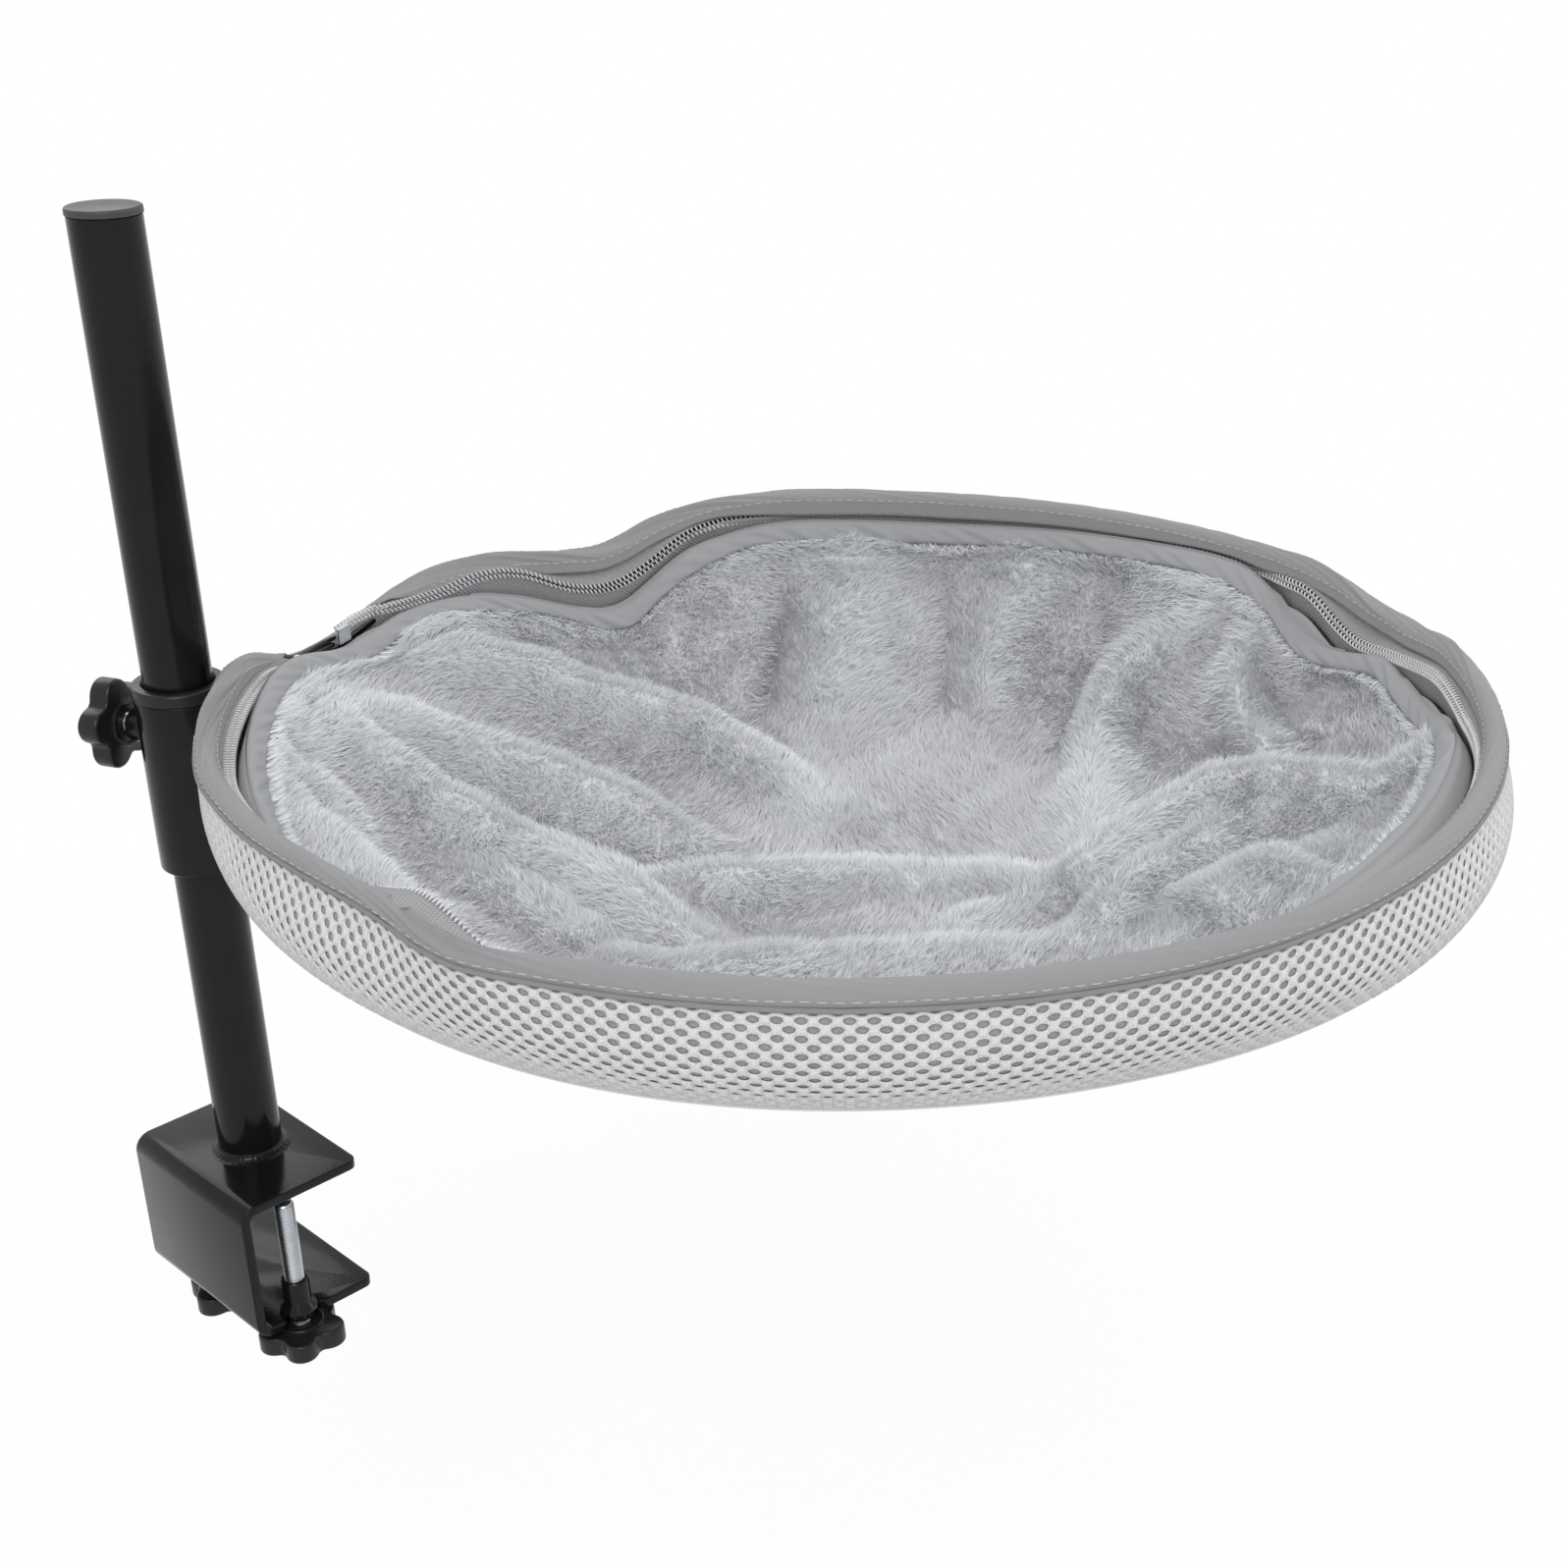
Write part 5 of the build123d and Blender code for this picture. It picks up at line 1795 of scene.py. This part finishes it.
def linerSkin(share, turn):
    # points of the plush's ground: share 0 is the bowl's middle, 1 the binding's lower edge
    tucked, (bellyOut, bellyDown) = linerShape["underBinding"], linerShape["belly"]
    edgeR = waveOf(rollReach, turn, 1.8) + tucked
    edgeZ = np.minimum(waveOf(rollLow, turn, 1.2) + tucked, zipCentre(turn) - linerShape["underZip"])
    joint, jointShare = linerShape["joint"], linerShape["jointShare"]
    inner = share < jointShare
    radiusIn = joint * share / jointShare
    heightIn = floorHeight(radiusIn, linerShape["skin"])
    t = np.clip((share - jointShare) / (1 - jointShare), 0, 1)
    startZ = floorHeight(np.asarray(joint, float), linerShape["skin"])
    grade = joint / math.sqrt((bowl["floorRadius"] - linerShape["skin"]) ** 2 - joint ** 2)
    midR = edgeR + bellyOut
    midZ = np.minimum(startZ + (midR - joint) * grade, edgeZ - bellyDown)
    radiusOut = (1 - t) ** 2 * joint + 2 * t * (1 - t) * midR + t * t * edgeR
    heightOut = (1 - t) ** 2 * startZ + 2 * t * (1 - t) * midZ + t * t * edgeZ
    radius = np.where(inner, radiusIn, radiusOut)
    height = np.where(inner, heightIn, heightOut)
    return radius, height


def makeLinerGrid(values):
    # the skin with its folds, as a grid of points round and across the bowl, in millimetres
    turn = turnsOf(values["around"])
    share = np.linspace(values["middle"], 1, values["rings"])
    shares, turns = np.meshgrid(share, turn)
    radius, height = linerSkin(shares, turns)
    # the outward lean of the surface, for raising folds square to it
    dr = np.gradient(radius, axis=1)
    dz = np.gradient(height, axis=1)
    size = np.hypot(dr, dz)
    leanR, leanZ = -dz / size, dr / size
    x, y = radius * np.cos(turns), radius * np.sin(turns)
    lift = foldLift(x, y)
    rng = np.random.default_rng(9)
    lumps = sum(np.sin(x / s + rng.uniform(0, 6)) * np.sin(y / s + rng.uniform(0, 6)) for s in values["lumpWaves"])
    lift = (lift + values["lumps"] * lumps) * np.clip((1 - shares) / values["edgeFade"], 0, 1)
    return radius + leanR * lift, turns, height + leanZ * lift, lift


def makeLiner(values):
    radius, turns, height, lift = makeLinerGrid(values)
    top = basketPoints(radius, turns, height)
    # the underside follows the mesh shell
    lowShare = np.linspace(1, values["middle"], values["lowRings"])
    runs = bowl["run"] - (bowl["run"] - values["lowFrom"]) * lowShare
    turn = turns[:, :1]
    lowR, lowZ = shellPoint(runs[None, :], values["low"], turn)
    under = basketPoints(lowR, turn, lowZ)
    return loftRing("plushLiner", np.concatenate([top, under], 1)), top, lift


plushLiner, plushTop, plushLift = makeLiner(linerShape)
dress(plushLiner, plushGround, "plush", "basket", "plush_liner")

pile = {
    "blades": 280000,
    "length": 6.0,
    "wide": 0.44,
    "lean": 0.75,
    "edge": 0.3,  # how much longer the blades next to the binding are
    "clump": 0.4,
    "stray": 0.5,
    "valleyShade": 0.5,  # how much painted shade dulls the pile where it lies low
    "sectors": 8,
}


def pileBlades(grid, lift, values):
    # short tapered blades all over the skin, leaning with a slowly turning nap
    rng = np.random.default_rng(42)
    rings = grid.shape[1]
    nextRow = np.roll(grid, -1, axis=0)
    a, b = grid[:, :-1], nextRow[:, :-1]
    c, d = nextRow[:, 1:], grid[:, 1:]
    normal = np.cross(b - d, c - a)
    area = np.linalg.norm(normal, axis=-1) / 2
    weight = area.ravel() / area.sum()
    pick = rng.choice(len(weight), size=values["blades"], p=weight)
    i, k = pick // (rings - 1), pick % (rings - 1)
    u, v = rng.random((2, len(pick)))
    u, v = u[:, None], v[:, None]
    root = (a[i, k] * (1 - u) + b[i, k] * u) * (1 - v) + (d[i, k] * (1 - u) + c[i, k] * u) * v
    up = normal[i, k]
    up /= np.linalg.norm(up, axis=1)[:, None]
    up *= np.sign(np.median(up[:, 2]))
    x, y = root[:, 0] / mm, root[:, 1] / mm
    swirl = 1.3 * np.sin(x / 37 + 1.0) + 1.1 * np.sin(y / 29 - 0.6) + 0.9 * np.sin((x + y) / 53)
    clump = 0.7 * np.sin(x / 3.1 + 2 * np.sin(y / 4.3)) + 0.7 * np.sin(y / 2.7 + 2 * np.sin(x / 3.7))
    nap = swirl + clump * values["clump"] + rng.normal(0, values["stray"], len(x))
    flat = np.stack([np.cos(nap), np.sin(nap), 0 * nap], -1)
    flat -= (flat * up).sum(1)[:, None] * up
    flat /= np.linalg.norm(flat, axis=1)[:, None]
    lean = values["lean"] * rng.uniform(0.55, 1.35, len(x))[:, None]
    length = values["length"] * mm * (rng.uniform(0.7, 1.15, len(x)) + values["edge"] * (k > rings - 7))[:, None]
    first = up + 0.45 * lean * flat
    second = up * 0.75 + 1.25 * lean * flat
    first /= np.linalg.norm(first, axis=1)[:, None]
    second /= np.linalg.norm(second, axis=1)[:, None]
    middle = root + first * length * 0.55
    tip = middle + second * length * 0.55
    side = np.cross(first, flat)
    turnSide = rng.uniform(-1.2, 1.2, len(x))[:, None]
    side = side * np.cos(turnSide) + np.cross(first, side) * np.sin(turnSide)
    half = values["wide"] * mm / 2 * rng.uniform(0.7, 1.2, len(x))[:, None]
    points = np.stack([root - side * half, root + side * half, middle - side * half * 0.8,
                       middle + side * half * 0.8, tip], 1)
    # painted shade: slow patches where the pile parts, and most in the fold valleys where the lift is low, none on
    # the crests; the rest is random tone
    patch = np.sin(x / 9 + 1.9 * np.sin(y / 13)) * np.sin(y / 11 + 1.6 * np.sin(x / 17 + 0.5))
    valleyShade = np.clip(0.75 - lift[i, k] / 11, 0, 1) * np.where(k > rings - 14, 0.25, 1.0)
    toneAndShade = np.clip(0.45 * rng.random(len(x)) + 0.14 * (patch + 1) + values["valleyShade"] * valleyShade, 0, 1)
    return points, toneAndShade, np.arctan2(root[:, 1], root[:, 0])


def makePile(values):
    points, toneAndShade, turn = pileBlades(plushTop, plushLift, values)
    sector = ((turn + math.pi) / math.tau * values["sectors"]).astype(int) % values["sectors"]
    for index in range(values["sectors"]):
        chosen = points[sector == index]
        count = len(chosen)
        mesh = bpy.data.meshes.new(f"plushPile{index + 1}")
        mesh.vertices.add(count * 5)
        mesh.vertices.foreach_set("co", chosen.astype(np.float32).reshape(-1))
        base = (np.arange(count) * 5)[:, None]
        quads = (base + np.array([[0, 1, 3, 2]])).reshape(-1)
        tips = (base + np.array([[2, 3, 4]])).reshape(-1)
        mesh.loops.add(count * 7)
        mesh.loops.foreach_set("vertex_index", np.concatenate([quads, tips]).astype(np.int32))
        starts = np.concatenate([np.arange(count) * 4, count * 4 + np.arange(count) * 3])
        mesh.polygons.add(count * 2)
        mesh.polygons.foreach_set("loop_start", starts.astype(np.int32))
        mesh.update(calc_edges=True)
        mesh.validate()
        along = mesh.attributes.new("pile", "FLOAT_VECTOR", "POINT")
        shade = np.zeros((count, 5, 3), np.float32)
        shade[:, :, 0] = np.array([0, 0, 0.55, 0.55, 1.0])[None, :]
        # the second value: random tone and painted shade of the valleys
        shade[:, :, 1] = toneAndShade[sector == index][:, None]
        along.data.foreach_set("vector", shade.reshape(-1))
        mesh.polygons.foreach_set("use_smooth", [True] * len(mesh.polygons))
        piece = intoBasket(newPiece(f"plushPile{index + 1}", mesh))
        dress(piece, plushPile, "plush", "basket")


makePile(pile)
